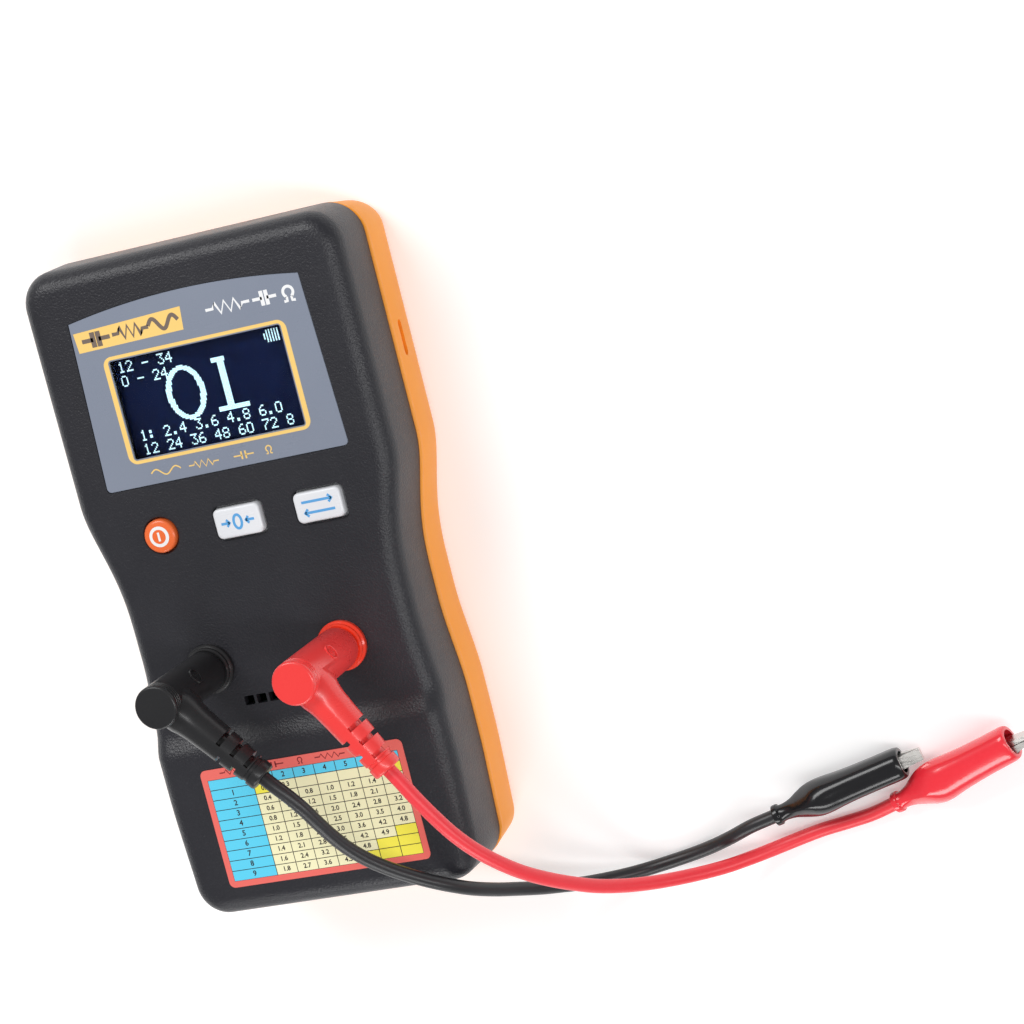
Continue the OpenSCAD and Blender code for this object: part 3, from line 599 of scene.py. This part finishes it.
keys = dict(y=16.4, pitch=24, size=(13.8, 8.4), corner=1.6, edge=0.75, rise=1.6, root=3.5, skirtZ=2.5,
            skirt=1.5, dished=1.6, powerD=9.4, powerSkirt=1.2, dome=0.62)
sockets = dict(
    x=20, y=-22.5, hole=6.05,
    # radius and height above the face: down the outside of the flange, then the bore
    profile=[(6.0, -15.3), (6.0, 0), (6.8, 0), (7.0, 0.2), (7.0, 1.3), (6.65, 1.7), (6.55, 1.75),
             (6.4, 1.9),
             (6.4, 2.6), (6.0, 3), (4.9, 3), (4.6, 2.7), (4.6, -13), (2.75, -13), (2.75, -15.3)])
slots = dict(count=7, pitch=3.7, size=(2.9, 2.6), y=-33.2)
screwPlaces = [(40, 82), (-40, 82), (36.2, -80), (-36.2, -80)]


def makeFrontShell():
    c = case
    obj = makeObject("frontShell", caseLoft(
        [(c["partZ"], 0.45, 0.45, False), (c["partZ"] + 0.15, 0.12, 0.12, False),
         (c["partZ"] + 0.45, 0, 0, False)]
        + filletLevels(c["faceR"], c["draft"], c["draft"] / 2, 0, True)))
    inner = caseLoft([(c["partZ"] - 1, c["wall"], c["wall"], False), (-c["faceR"], 3.3, 2.8, True),
                      (-3.3, 4.3, 3.8, True), (-c["wall"], 6.5, 6, True)])
    face = c["faceZ"]
    recess = prism(panelOutline(0.12), [(face - 0.6, 0), (face + 3, 0)])
    holes = [slab(-27.2, 27.2, 36.3, 67.7, face - 5, face + 1),
             revolve([(5.05, face - 6), (5.05, face - 0.35), (5.35, face + 0.01), (5.35, face + 1)],
                     (-keys["pitch"], keys["y"], 0))]
    for k in (0, 1):
        line = roundRect(keys["size"][0] + 1.1, keys["size"][1] + 1.1, 1.9,
                         at=(k * keys["pitch"], keys["y"]))
        holes.append(prism(line, [(face - 6, 0), (face - 0.35, 0), (face + 0.01, -0.3), (face + 1, -0.3)]))
    holes += [revolve([(sockets["hole"], face - 6), (sockets["hole"], face + 1)],
                      (side * sockets["x"], sockets["y"], 0)) for side in (-1, 1)]
    half = (slots["count"] - 1) / 2
    for k in range(slots["count"]):
        line = roundRect(*slots["size"], 0.25, 3, at=((k - half) * slots["pitch"], slots["y"]))
        holes.append(prism(line, [(face - 5, 0), (face + 1, 0)]))
    carve(obj, [("DIFFERENCE", [inner]), ("DIFFERENCE", [recess]), ("DIFFERENCE", holes)])
    finishPiece(obj, "case", "caseBlack", ["front_shell"])


def backForm():
    r, top = case["rearR"], case["partZ"]
    a = np.radians(np.linspace(90, 0, 9))
    rear = [(r * (1 - math.sin(t)), r * (1 - math.cos(t)), 1.2 + r * (1 - math.cos(t)), False) for t in a]
    lip = [(top - 2.2, -0.4, 0.28, False), (top - 1.9, -0.3, 0.35, False), (top - 1.65, -0.34, 0.3, False),
           (top - 1.3, -0.5, 0.1, False), (top - 0.6, -0.5, 0.1, False), (top - 0.25, -0.36, 0.2, False),
           (top, 0.0, 0.5, False)]
    return caseLoft(rear + lip)


stand = dict(w=44.0, hinge=62.0, z=1.9, length=58.0, pocket=22.5)
door = dict(w=27.0, y=-28.0, gap=0.2, lip=1.0, tongue=1.5)


def makeBackShell():
    c, d, s = case, door, stand
    obj = makeObject("backShell", backForm())
    inner = caseLoft([(6.2, 5.5, 6.2, False), (8.5, 2.6, 3.6, False), (c["partZ"] + 1, 1.9, 2.3, False)])
    posts = [revolve([(4.5, 5), (4.5, c["partZ"])], (x, y, 0), 40) for x, y in screwPlaces]
    wide, end = d["w"] + d["gap"], d["y"] + d["gap"]
    cuts = [slab(-wide, wide, -99, end, -1, 2.2),
            slab(-wide - d["tongue"], wide + d["tongue"], -99, end, d["lip"], 2.2),
            slab(-16, 16, -85.7, -30.3, -1, 8), slab(-17.2, 17.2, -87.2, -28.8, 3.7, 8)]
    rear = [prism(roundRect(2 * s["pocket"], 61, 1.2, at=(0, 34)), [(-1, 0), (3.7, 0)]),
            prism(roundRect(16, 6, 2.5, at=(0, 1)), [(-1, 0), (2.6, 0)]),
            rod(1.3, 2 * s["pocket"] + 6, (-s["pocket"] - 3, s["hinge"], s["z"]), pitch=90)]
    rear += [revolve([(3.1, -1), (3.1, 9)], (x, y, 0), 40) for x, y in screwPlaces]
    rear += [revolve([(1.65, 9), (1.65, 20)], (x, y, 0), 24) for x, y in screwPlaces]
    slot = prism(roundRect(2.6, 10, 1.29, 8), [(-1.6, 0), (1.2, 0)])
    sides = [place(slot, (sign * 48.75, 53, 11.5), pitch=90 * sign) for sign in (-1, 1)]
    carve(obj, [("DIFFERENCE", [inner]), ("UNION", posts), ("DIFFERENCE", cuts), ("DIFFERENCE", rear),
                ("DIFFERENCE", sides)])
    finishPiece(obj, "case", "caseOrange", ["back_shell"])


def makeDoor():
    d = door
    obj = makeObject("batteryDoor", backForm())
    plate = [slab(-d["w"], d["w"], -99, d["y"], -1, 2), slab(-d["w"] - d["tongue"], d["w"] + d["tongue"],
            -99, d["y"], 1.15, 2)]
    grips = [prism(roundRect(18, 1.2, 0.55, at=(0, -40 - 3 * k)), [(-1, 0), (0.55, 0.15)])
             for k in range(5)]
    carve(obj, [("INTERSECT", plate), ("DIFFERENCE", grips)])
    finishPiece(obj, "battery_door", "caseOrange", ["battery_door"])


def makeStand():
    s = stand
    low = s["hinge"] - s["length"]
    line = roundRect(s["w"], s["length"] - 2, 2, at=(0, (low + s["hinge"] - 2) / 2))
    body = prism(line, [(0.5, 0.35), (0.85, 0), (2.5, 0), (2.8, 0.3)])
    obj = makeObject("tiltStand", body)
    hinge = [rod(1.4, s["w"], (-s["w"] / 2, s["hinge"], s["z"]), pitch=90),
             slab(-s["w"] / 2, s["w"] / 2, s["hinge"] - 4, s["hinge"], 0.5, 2.8)]
    pins = [rod(1.25, 2 * s["pocket"] + 5, (-s["pocket"] - 2.5, s["hinge"], s["z"]), pitch=90)]
    hollow = [prism(roundRect(s["w"] - 12, 17, 1.5, at=(0, low + 13 + 20 * k)),
                    [(-1, 0.3), (0.5, 0.3), (1.5, 0.6)])
              for k in range(2)]
    carve(obj, [("UNION", hinge), ("UNION", pins), ("DIFFERENCE", hollow)])
    finishPiece(obj, "tilt_stand", "caseBlack", ["tilt_stand"])


# ---- display panel and what is printed on it ----
panel = dict(w=72.6, low=30.6, top=77.7, rise=3.2, corner=1.3, z=37.4, ink=0.03)
display = dict(y=52.0, w=51.2, h=27.6, frameW=54.8, frameH=30.2)


def panelOutline(slack):
    # rounded lower corners, then an arched upper edge from corner to corner
    w, r = panel["w"] / 2 + slack, panel["corner"]
    a = np.radians(np.linspace(0, 90, 7))
    low = panel["low"] - slack
    lowRight = np.column_stack([w - r + r * np.sin(a), low + r - r * np.cos(a)])
    x = np.linspace(w, -w, 41)
    arch = np.column_stack([x, panel["top"] + slack + panel["rise"] * (1 - (x / w) ** 2)])
    arch = arch[1:-1]
    lowLeft = (lowRight * (-1, 1))[::-1]
    return np.concatenate([lowRight, arch, lowLeft])


def arc(cx, cy, r, start, end, count=24):
    a = np.radians(np.linspace(start, end, count))
    return np.column_stack([cx + r * np.cos(a), cy + r * np.sin(a)])


def zigzag(x, y, w, h, turns=3):
    # a resistor's sign: leads with sharp turns between them
    ends = [(x - w / 2, y), (x - w / 3, y)]
    peaks = [(x - w / 3 + (k + 0.5) * w / 1.5 / (2 * turns), y + (h / 2 if k % 2 == 0 else -h / 2))
             for k in range(2 * turns)]
    return ends + peaks + [(x + w / 3, y), (x + w / 2, y)]


def capacitorSign(x, y, w, h, bold, z0, z1):
    gap = w * 0.1
    return [ribbon([(x - w / 2, y), (x - gap, y)], bold, z0, z1),
            ribbon([(x + gap, y), (x + w / 2, y)], bold, z0, z1),
            ribbon([(x - gap, y - h / 2), (x - gap, y + h / 2)], bold * 1.3, z0, z1),
            ribbon([(x + gap, y - h / 2), (x + gap, y + h / 2)], bold * 1.3, z0, z1)]


def ohmSign(x, y, h, bold, z0, z1):
    r = h * 0.36
    return [ribbon(arc(x, y + h * 0.1, r, -60, 240), bold, z0, z1),
            ribbon([(x + r * 0.5, y - h * 0.22), (x + r * 0.5, y - h / 2), (x + r * 1.15, y - h / 2)],
                   bold, z0, z1),
            ribbon([(x - r * 0.5, y - h * 0.22), (x - r * 0.5, y - h / 2), (x - r * 1.15, y - h / 2)],
                   bold, z0, z1)]


def drawSigns(signs, z0, z1):
    # each sign is its kind, middle, width, height and stroke; an ohm sign's width follows its height
    shapes = []
    for kind, x, y, w, h, bold in signs:
        if kind == "resistor":
            shapes.append(ribbon(zigzag(x, y, w, h), bold, z0, z1))
        elif kind == "wave":
            shapes.append(ribbon(sineLine(x, y, w, h), bold, z0, z1))
        elif kind == "capacitor":
            shapes += capacitorSign(x, y, w, h, bold, z0, z1)
        else:
            shapes += ohmSign(x, y, h, bold, z0, z1)
    return shapes


panelSigns = dict(
    yellow=[("resistor", -6, 33.6, 9, 1.9, 0.36), ("capacitor", 6, 33.6, 6, 2.2, 0.36),
            ("ohm", 13.5, 33.7, 2.2, 2.2, 0.34), ("wave", -17.5, 33.6, 9, 0.9, 0.36)],
    white=[("resistor", 12.5, 73.6, 13, 3.2, 0.8), ("capacitor", 23.4, 73.5, 7, 4, 0.85),
           ("ohm", 30.4, 73.3, 4, 4, 0.8)],
    brown=[("capacitor", -27.5, 72.6, 8.5, 4.2, 1.15), ("resistor", -17, 72.8, 11, 3.4, 1.05),
           ("wave", -7, 73, 9, 1.6, 1.1)],
    bar=[(-33.4, 69.7), (-1.6, 70.0), (-1.0, 76.3), (-33.8, 75.2)])


def makePanel():
    # the film with its window cut out, then the printed layers, each one ink's thickness above the last
    p, d = panel, display
    obj = makeObject("displayPanel", prism(panelOutline(0), [(p["z"] - 0.5, 0), (p["z"] - 0.12, 0),
                                                             (p["z"], 0.12)]))
    window = prism(roundRect(d["w"], d["h"], 0.6, at=(0, d["y"])), [(p["z"] - 2, 0), (p["z"] + 1, 0)])
    carve(obj, [("DIFFERENCE", [window])])
    finishPiece(obj, "case", "panelFilm", ["display_panel"])
    low, middle, high = (p["z"] + k * p["ink"] for k in range(3))
    yellow = [band(roundRect(d["frameW"], d["frameH"], 2.6, 8, (0, d["y"])),
                   roundRect(d["w"] + 0.7, d["h"] + 0.7, 1.0, 8, (0, d["y"])), low, middle)]
    yellow.append(ringShape([np.column_stack([panelSigns["bar"], np.full(4, z)]) for z in (low, middle)]))
    yellow += drawSigns(panelSigns["yellow"], low, middle)
    makeObject("panelYellow", join(yellow), "case", "inkYellow")
    white = drawSigns(panelSigns["white"], low, middle)
    makeObject("panelWhite", join(white), "case", "inkWhite")
    brown = drawSigns(panelSigns["brown"], middle, high)
    makeObject("panelBrown", join(brown), "case", "inkBrown")


def sineLine(x, y, w, h):
    t = np.linspace(0, 1, 40)
    return np.column_stack([x - w / 2 + w * t, y + h * np.sin(2 * np.pi * 1.5 * t)])


# ---- what the display shows: numbers made of square dots ----
# each sign is seven rows of five dots, the top row first
digits = {
    "0": "01110 10001 10001 10001 10001 10001 01110", "1": "00100 01100 00100 00100 00100 00100 01110",
    "2": "01110 10001 00001 00010 00100 01000 11111", "3": "11111 00010 00100 00010 00001 10001 01110",
    "4": "00010 00110 01010 10010 11111 00010 00010", "6": "00110 01000 10000 11110 10001 10001 01110",
    "7": "11111 00001 00010 00100 01000 01000 01000", "8": "01110 10001 10001 01110 10001 10001 01110",
    ".": "00000 00000 00000 00000 00000 01100 01100", "-": "00000 00000 00000 11111 00000 00000 00000",
    ":": "00000 01100 01100 00000 01100 01100 00000", " ": "00000 00000 00000 00000 00000 00000 00000"}
screen = dict(
    cols=128, rows=64, pitch=6, z=34.4, fill=0.92, thick=0.02,
    # each line's words, left column and top row
    lines=[("12 - 34", 2, 2), ("0 - 24", 2, 11), ("1: 2.4 3.6 4.8 6.0", 5, 47),
           ("12 24 36 48 60 72 8", 5, 56)],
    # the large nought: its middle, and the half sizes of its outer and inner ovals
    noughtAt=(46, 29), noughtOvals=((14.5, 17.3), (10.2, 14.6)),
    # the large one, then the battery sign: left, right, step between columns, top and bottom of each block
    blocks=[(74, 79, 1, 13, 45), (70, 80, 1, 12, 15), (67, 90, 1, 43, 46),
            (114, 124, 2, 2, 10), (125, 126, 1, 2, 10), (112, 113, 1, 4, 8)])


def dotMap():
    # a grid of lit dots: small signs from their rows, a ring between two ovals, then plain blocks
    s = screen
    lit = np.zeros((s["rows"], s["cols"]), bool)
    for words, left, top in s["lines"]:
        for k, sign in enumerate(words):
            dots = np.array([list(row) for row in digits[sign].split()]) == "1"
            x = left + k * s["pitch"]
            lit[top:top + dots.shape[0], x:x + dots.shape[1]] |= dots
    y, x = np.mgrid[0:s["rows"], 0:s["cols"]]
    atX, atY = s["noughtAt"]
    outer, inner = (((x - atX) / a) ** 2 + ((y - atY) / b) ** 2 for a, b in s["noughtOvals"])
    lit |= (outer < 1) & (inner > 1)
    for left, right, step, top, bottom in s["blocks"]:
        lit[top:bottom, left:right:step] = True
    return lit


def dotShape(centres, size, z0, z1):
    # one small box for each centre
    corners = np.array([(-1, -1), (1, -1), (1, 1), (-1, 1)]) / 2 * np.asarray(size)
    flat = centres[:, None, :] + corners[None]
    low, high = (np.concatenate([flat, np.full(flat.shape[:2] + (1,), z)], -1) for z in (z0, z1))
    points = np.concatenate([low, high], 1).reshape(-1, 3)
    box = np.array([(3, 2, 1, 0), (4, 5, 6, 7), (0, 1, 5, 4), (1, 2, 6, 5), (2, 3, 7, 6), (3, 0, 4, 7)])
    return points, (box[None] + 8 * np.arange(len(centres))[:, None, None]).reshape(-1, 4).tolist()


def makeScreen():
    s, d = screen, display
    cell = np.array([d["w"] / s["cols"], d["h"] / s["rows"]])
    row, col = np.nonzero(dotMap())
    centres = np.column_stack([(col + 0.5) * cell[0] - d["w"] / 2,
                               d["y"] + d["h"] / 2 - (row + 0.5) * cell[1]])
    makeObject("displayDots", dotShape(centres, cell * s["fill"], s["z"], s["z"] + s["thick"]), "case",
               "displayDots",
               sharp=20)


# ---- buttons ----
keyMarks = dict(
    ink=0.03, stroke=0.72, zeroRing=(1.15, 1.9), zeroStroke=0.75, powerBar=(0.32, 1.25), modeGap=1.5,
    zeroArrow=dict(start=4.9, end=2.4, tip=2.35, barb=(3.3, 0.95)),
    modeArrow=dict(start=-4.6, end=4.2, tip=4.3, barb=(3.2, 1.0)))


def arrow(s, x, y, side, z0, z1):
    # a level stroke and the head at its end; side mirrors both about x
    line = [(x + side * s["start"], y), (x + side * s["end"], y)]
    barbX, barbY = x + side * s["barb"][0], s["barb"][1]
    head = [(barbX, y + barbY), (x + side * s["tip"], y), (barbX, y - barbY)]
    return [ribbon(points, keyMarks["stroke"], z0, z1) for points in (line, head)]


def makeKeys():
    # two square keys with rounded edges, and a round one whose top falls as the square of the radius
    s, m, y = keys, keyMarks, keys["y"]
    top = case["faceZ"] + s["rise"]
    root, skirtZ, r = case["faceZ"] - s["root"], case["faceZ"] - s["skirtZ"], s["edge"]
    a = np.radians(np.linspace(0, 90, 6))
    levels = [(root, -s["skirt"]), (skirtZ, -s["skirt"]), (skirtZ, 0.02), (top - r, 0)]
    levels += [(top - r * (1 - math.sin(t)), r * (1 - math.cos(t))) for t in a[1:]] + [(top, s["dished"])]
    for k, name in enumerate(("zero", "mode")):
        line = roundRect(*s["size"], s["corner"], 8, (k * s["pitch"], y))
        makeObject(name + "Key", prism(line, levels), name + "_button", "keyWhite", [name + "_button"])
    x, rim = -s["pitch"], s["powerD"] / 2
    wide = rim + s["powerSkirt"]
    dome = [(wide, root), (wide, skirtZ), (rim, skirtZ), (rim, top - 1.05), (rim - 0.12, top - 0.78)]
    dome += [(q, top - s["dome"] * (q / rim) ** 2) for q in (4.3, 3.9, 3.3, 2.6, 1.8, 0.9, 0.3)]
    makeObject("powerKey", revolve(dome, (x, y, 0)), "power_button", "keyRed", ["power_button"],
               40)
    mark = [(q, top - s["dome"] * (q / rim) ** 2 + lift)
            for q, lift in ((2.0, -0.1), (2.0, m["ink"]), (2.9, m["ink"]), (2.9, -0.1))]
    barX, barY = m["powerBar"]
    bar = slab(x - barX, x + barX, y - barY, y + barY, top - 0.12, top + 0.02)
    makeObject("powerMark", join([revolve(mark, (x, y, 0), closed=True), bar]), "power_button", "inkWhite")
    z0, z1 = top, top + m["ink"]
    t = np.linspace(0, 2 * np.pi, 41)
    ringX, ringY = m["zeroRing"]
    zero = [ribbon(np.column_stack([ringX * np.cos(t), y + ringY * np.sin(t)]), m["zeroStroke"], z0, z1)]
    mode = []
    for side in (-1, 1):
        zero += arrow(m["zeroArrow"], 0, y, side, z0, z1)
        mode += arrow(m["modeArrow"], s["pitch"], y + side * m["modeGap"], side, z0, z1)
    makeObject("zeroMark", join(zero), "zero_button", "inkBlue")
    makeObject("modeMark", join(mode), "mode_button", "inkBlue")


# ---- sockets and plugs ----
def makeSocket(name, s):
    at = (s["side"] * sockets["x"], sockets["y"], case["faceZ"])
    makeObject(name + "Socket", revolve(sockets["profile"], at, 72, closed=True), "case", s["socket"],
               [name + "_socket"])


plug = dict(neck=3.4, height=38.0, armZ=30.0, r=6.0, bore=1.98, shroud=3.0, markZ=20.5, markYaw=30,
             slots=5, slotX=18.6, slotPitch=2.3, slotW=1.3)


def makePlug(name, s):
    p = plug
    h, n = p["height"], p["neck"]
    barrel = [(4.4, -12), (4.4, n + 0.1), (5.3, n), (5.75, n + 0.35), (5.95, n + 1.1)]
    barrel += [(p["r"], z) for z in (n + 2, 15, 34)]
    for k in range(3):
        z = 34.4 + k * 0.95
        barrel += [(5.97, z), (5.62, z + 0.14), (5.62, z + 0.4), (5.97, z + 0.54)]
    barrel += [(5.97, h - 0.55), (5.85, h - 0.25), (5.55, h - 0.04), (5.2, h)]
    at = (s["side"] * sockets["x"], sockets["y"], case["faceZ"])
    obj = makeObject(name + "Plug", place(revolve(barrel, sides=96), at))
    arm = [(0, 4.2), (2, 5.7), (4.6, 5.9), (6.4, 5.75), (8, 5.35), (10, 5.05), (14, 4.85), (18, 4.7),
           (22, 4.55),
           (28.9, 4.1), (29.1, 3.75), (30, 3.7), (30.2, 4.15), (32.4, 4.1), (32.8, 3.9), (33, 3.5)]
    armAt = (at[0], at[1], at[2] + p["armZ"])
    armShape = place(revolve([(r, x) for x, r in arm], sides=72), armAt, pitch=90, yaw=s["heading"])
    cuts = []
    for k in range(p["slots"]):
        shape = slotCut(p["slotX"] + p["slotPitch"] * k, p["slotW"], 1 if k % 2 == 0 else -1)
        cuts.append(place(shape, armAt, yaw=s["heading"]))
    bore = revolve([(p["bore"], -13), (p["bore"], 24.5)], at, 40)
    shroud = revolve([(p["shroud"], -13), (p["shroud"], 0.2)], at, 40)
    carve(obj, [("UNION", [armShape]), ("DIFFERENCE", cuts), ("DIFFERENCE", [shroud]),
                ("DIFFERENCE", [bore])])
    finishPiece(obj, name + "_lead", s["plug"], [name + "_plug"], 40)
    ring = revolve([(1.75, -0.9), (1.75, 0.14), (1.85, 0.2), (2.15, 0.2), (2.25, 0.1), (2.25, -0.9)],
                   closed=True, sides=56)
    wave = ribbon(sineLine(0, 0, 2.4, 0.5), 0.4, -0.5, 0.16)
    mark = place(join([ring, wave]), (p["r"], 0, 0), pitch=90)
    markAt = (at[0], at[1], at[2] + p["markZ"])
    makeObject(name + "PlugMark", place(mark, markAt, yaw=p["markYaw"]), name + "_lead", s["plug"])


def slotCut(x, width, side):
    # a half ring round the arm's axis: its square section swept 150 degrees about the middle of one side
    a = np.radians(np.linspace(-75, 75, 16)) + (0 if side > 0 else math.pi)
    section = [(x - width / 2, 2.75), (x + width / 2, 2.75), (x + width / 2, 6.5), (x - width / 2, 6.5)]
    return ringShape([[(q, r * math.cos(t), r * math.sin(t)) for q, r in section] for t in a])


# ---- reference label ----
label = dict(w=61.0, h=34.5, y=-67.4, z=40.2, border=1.8, title=3.0, first=13.3, cols=7, rows=9, gap=0.22,
             ink=0.02,
             headSize=2.1, rowSize=2.2, cellSize=1.9)
labelFilled = (2, 6, 6, 7, 7, 7, 6, 5, 4)  # numbered cells in each row, after its first column
labelYellow = ((1, 1), (1, 7), (7, 7), (8, 6), (8, 7), (9, 5), (9, 6), (9, 7))  # row and column of each
# each title sign's kind, middle, width, height and stroke
labelSigns = (("resistor", -20, 9, 1.5, 0.34), ("capacitor", -8, 6, 1.7, 0.34), ("ohm", 0, 1.8, 1.8, 0.3),
              ("resistor", 9, 9, 1.5, 0.34), ("capacitor", 20, 6, 1.7, 0.34))


def textShape(words, size, x, y, z):
    curve = bpy.data.curves.new("words", "FONT")
    curve.body = words
    curve.size = size * mm
    curve.align_x = curve.align_y = "CENTER"
    curve.resolution_u = 2
    curve.extrude = 0.01 * mm
    curve.offset = 0.045 * mm
    holder = bpy.data.objects.new("words", curve)
    showObject(holder)
    mesh = bpy.data.meshes.new_from_object(holder.evaluated_get(bpy.context.evaluated_depsgraph_get()))
    points = np.zeros(len(mesh.vertices) * 3)
    mesh.vertices.foreach_get("co", points)
    faces = [list(poly.vertices) for poly in mesh.polygons]
    bpy.data.objects.remove(holder)
    bpy.data.meshes.remove(mesh)
    return points.reshape(-1, 3) / mm + (x, y, z), faces


def makeLabel():
    s = label
    base = prism(roundRect(s["w"], s["h"], 1.7, 6, (0, s["y"])),
                 [(s["z"] - 0.2, 0), (s["z"] - 0.04, 0), (s["z"], 0.04)])
    makeObject("labelBase", base, "case", "labelRed", ["reference_label"])
    x0, x1 = -s["w"] / 2 + s["border"], s["w"] / 2 - s["border"]
    y1 = s["y"] + s["h"] / 2 - s["title"]
    y0 = s["y"] - s["h"] / 2 + s["border"]
    xs = np.concatenate([[x0], np.linspace(x0 + s["first"], x1, s["cols"] + 1)])
    ys = np.linspace(y1, y0, s["rows"] + 2)
    z = s["z"]
    makeObject("labelLines", slab(x0, x1, y0, y1, z, z + s["ink"]), "case", "inkBlack")
    parts = dict(labelCyan=[], labelCream=[], labelYellow=[])
    for row in range(s["rows"] + 1):
        for col in range(s["cols"] + 1):
            tint = "labelCyan" if row == 0 or col == 0 else "labelCream"
            if (row, col) in labelYellow:
                tint = "labelYellow"
            g = s["gap"] / 2
            parts[tint].append(slab(xs[col] + g, xs[col + 1] - g, ys[row + 1] + g, ys[row] - g,
                                    z + s["ink"], z + 2 * s["ink"]))
    for tint, shapes in parts.items():
        makeObject(tint + "Cells", join(shapes), "case", tint)
    top = z + 2 * s["ink"] + 0.01
    words = [textShape(str(col), s["headSize"], (xs[col] + xs[col + 1]) / 2, (ys[0] + ys[1]) / 2, top)
             for col in range(1, s["cols"] + 1)]
    for row, filled in enumerate(labelFilled):
        line = (ys[row + 1] + ys[row + 2]) / 2
        words.append(textShape(str(row + 1), s["rowSize"], (xs[0] + xs[1]) / 2, line, top))
        for col in range(1, filled + 1):
            value = "{:.1f}".format((row + 1) * (col + 1) / 10)
            words.append(textShape(value, s["cellSize"], (xs[col] + xs[col + 1]) / 2, line, top))
    makeObject("labelNumbers", join(words), "case", "inkBlack", sharp=20)
    y = s["y"] + s["h"] / 2 - s["title"] / 2 + 0.1
    signs = drawSigns([(kind, x, y, *rest) for kind, x, *rest in labelSigns], z, z + 0.03)
    makeObject("labelSigns", join(signs), "case", "inkMaroon")


makeFrontShell()
print("front shell made")
makeBackShell()
makeDoor()
makeStand()
print("back shell, door and stand made")
makePanel()
makeScreen()
makeKeys()
makeLabel()
for name, s in leads.items():
    makeSocket(name, s)
    makePlug(name, s)
print("panel, keys, label, sockets and plugs made")


# ---- parts kept as they are in the frame ----
keptLooks = dict(
    windowClear=["display_window"], frameDark=["lcd_frame"], displayDark=["lcd_glass"],
    backlight=["lcd_backlight"], boardGreen=["lcd_board", "main_board"], filmRed=["film_capacitors"],
    canBlue=["power_capacitors"], cellWrap=["left_cell", "right_cell"],
    partBlack=["lcd_header", "controller_chip", "analog_chips", "power_coil", "small_resistors",
               "key_switches",
               "buzzer", "socket_nuts", "battery_holder"],
    keyWhite=["power_plunger", "zero_plunger", "mode_plunger"],
    brass=["black_sleeve", "red_sleeve", "black_plug_pin", "red_plug_pin"],
    nickel=["battery_springs", "battery_plates", "black_fixed_jaw", "red_fixed_jaw", "black_moving_jaw",
            "red_moving_jaw"],
    steel=["clock_crystal", "case_screws", "board_screws", "black_jaw_pin", "red_jaw_pin",
           "black_jaw_spring",
           "red_jaw_spring"])
for look, names in keptLooks.items():
    for name in names:
        nodes[name].data.materials.clear()
        nodes[name].data.materials.append(finish[look])


floorLook = dict(color=(0.85, 0.85, 0.85), rough=0.9, glow=0.3, half=4000, deep=2)


def makeFloor(s):
    material = bpy.data.materials.new("floor")
    material.use_nodes = True
    inputs = material.node_tree.nodes["Principled BSDF"].inputs
    inputs["Base Color"].default_value = (*s["color"], 1)
    inputs["Roughness"].default_value = s["rough"]
    inputs["Emission Color"].default_value = (1, 1, 1, 1)
    inputs["Emission Strength"].default_value = s["glow"]
    floor = makeObject("floor", slab(-s["half"], s["half"], -s["half"], s["half"], -s["deep"], 0))
    floor.data.materials.append(material)


makeFloor(floorLook)

print("pieces ready")
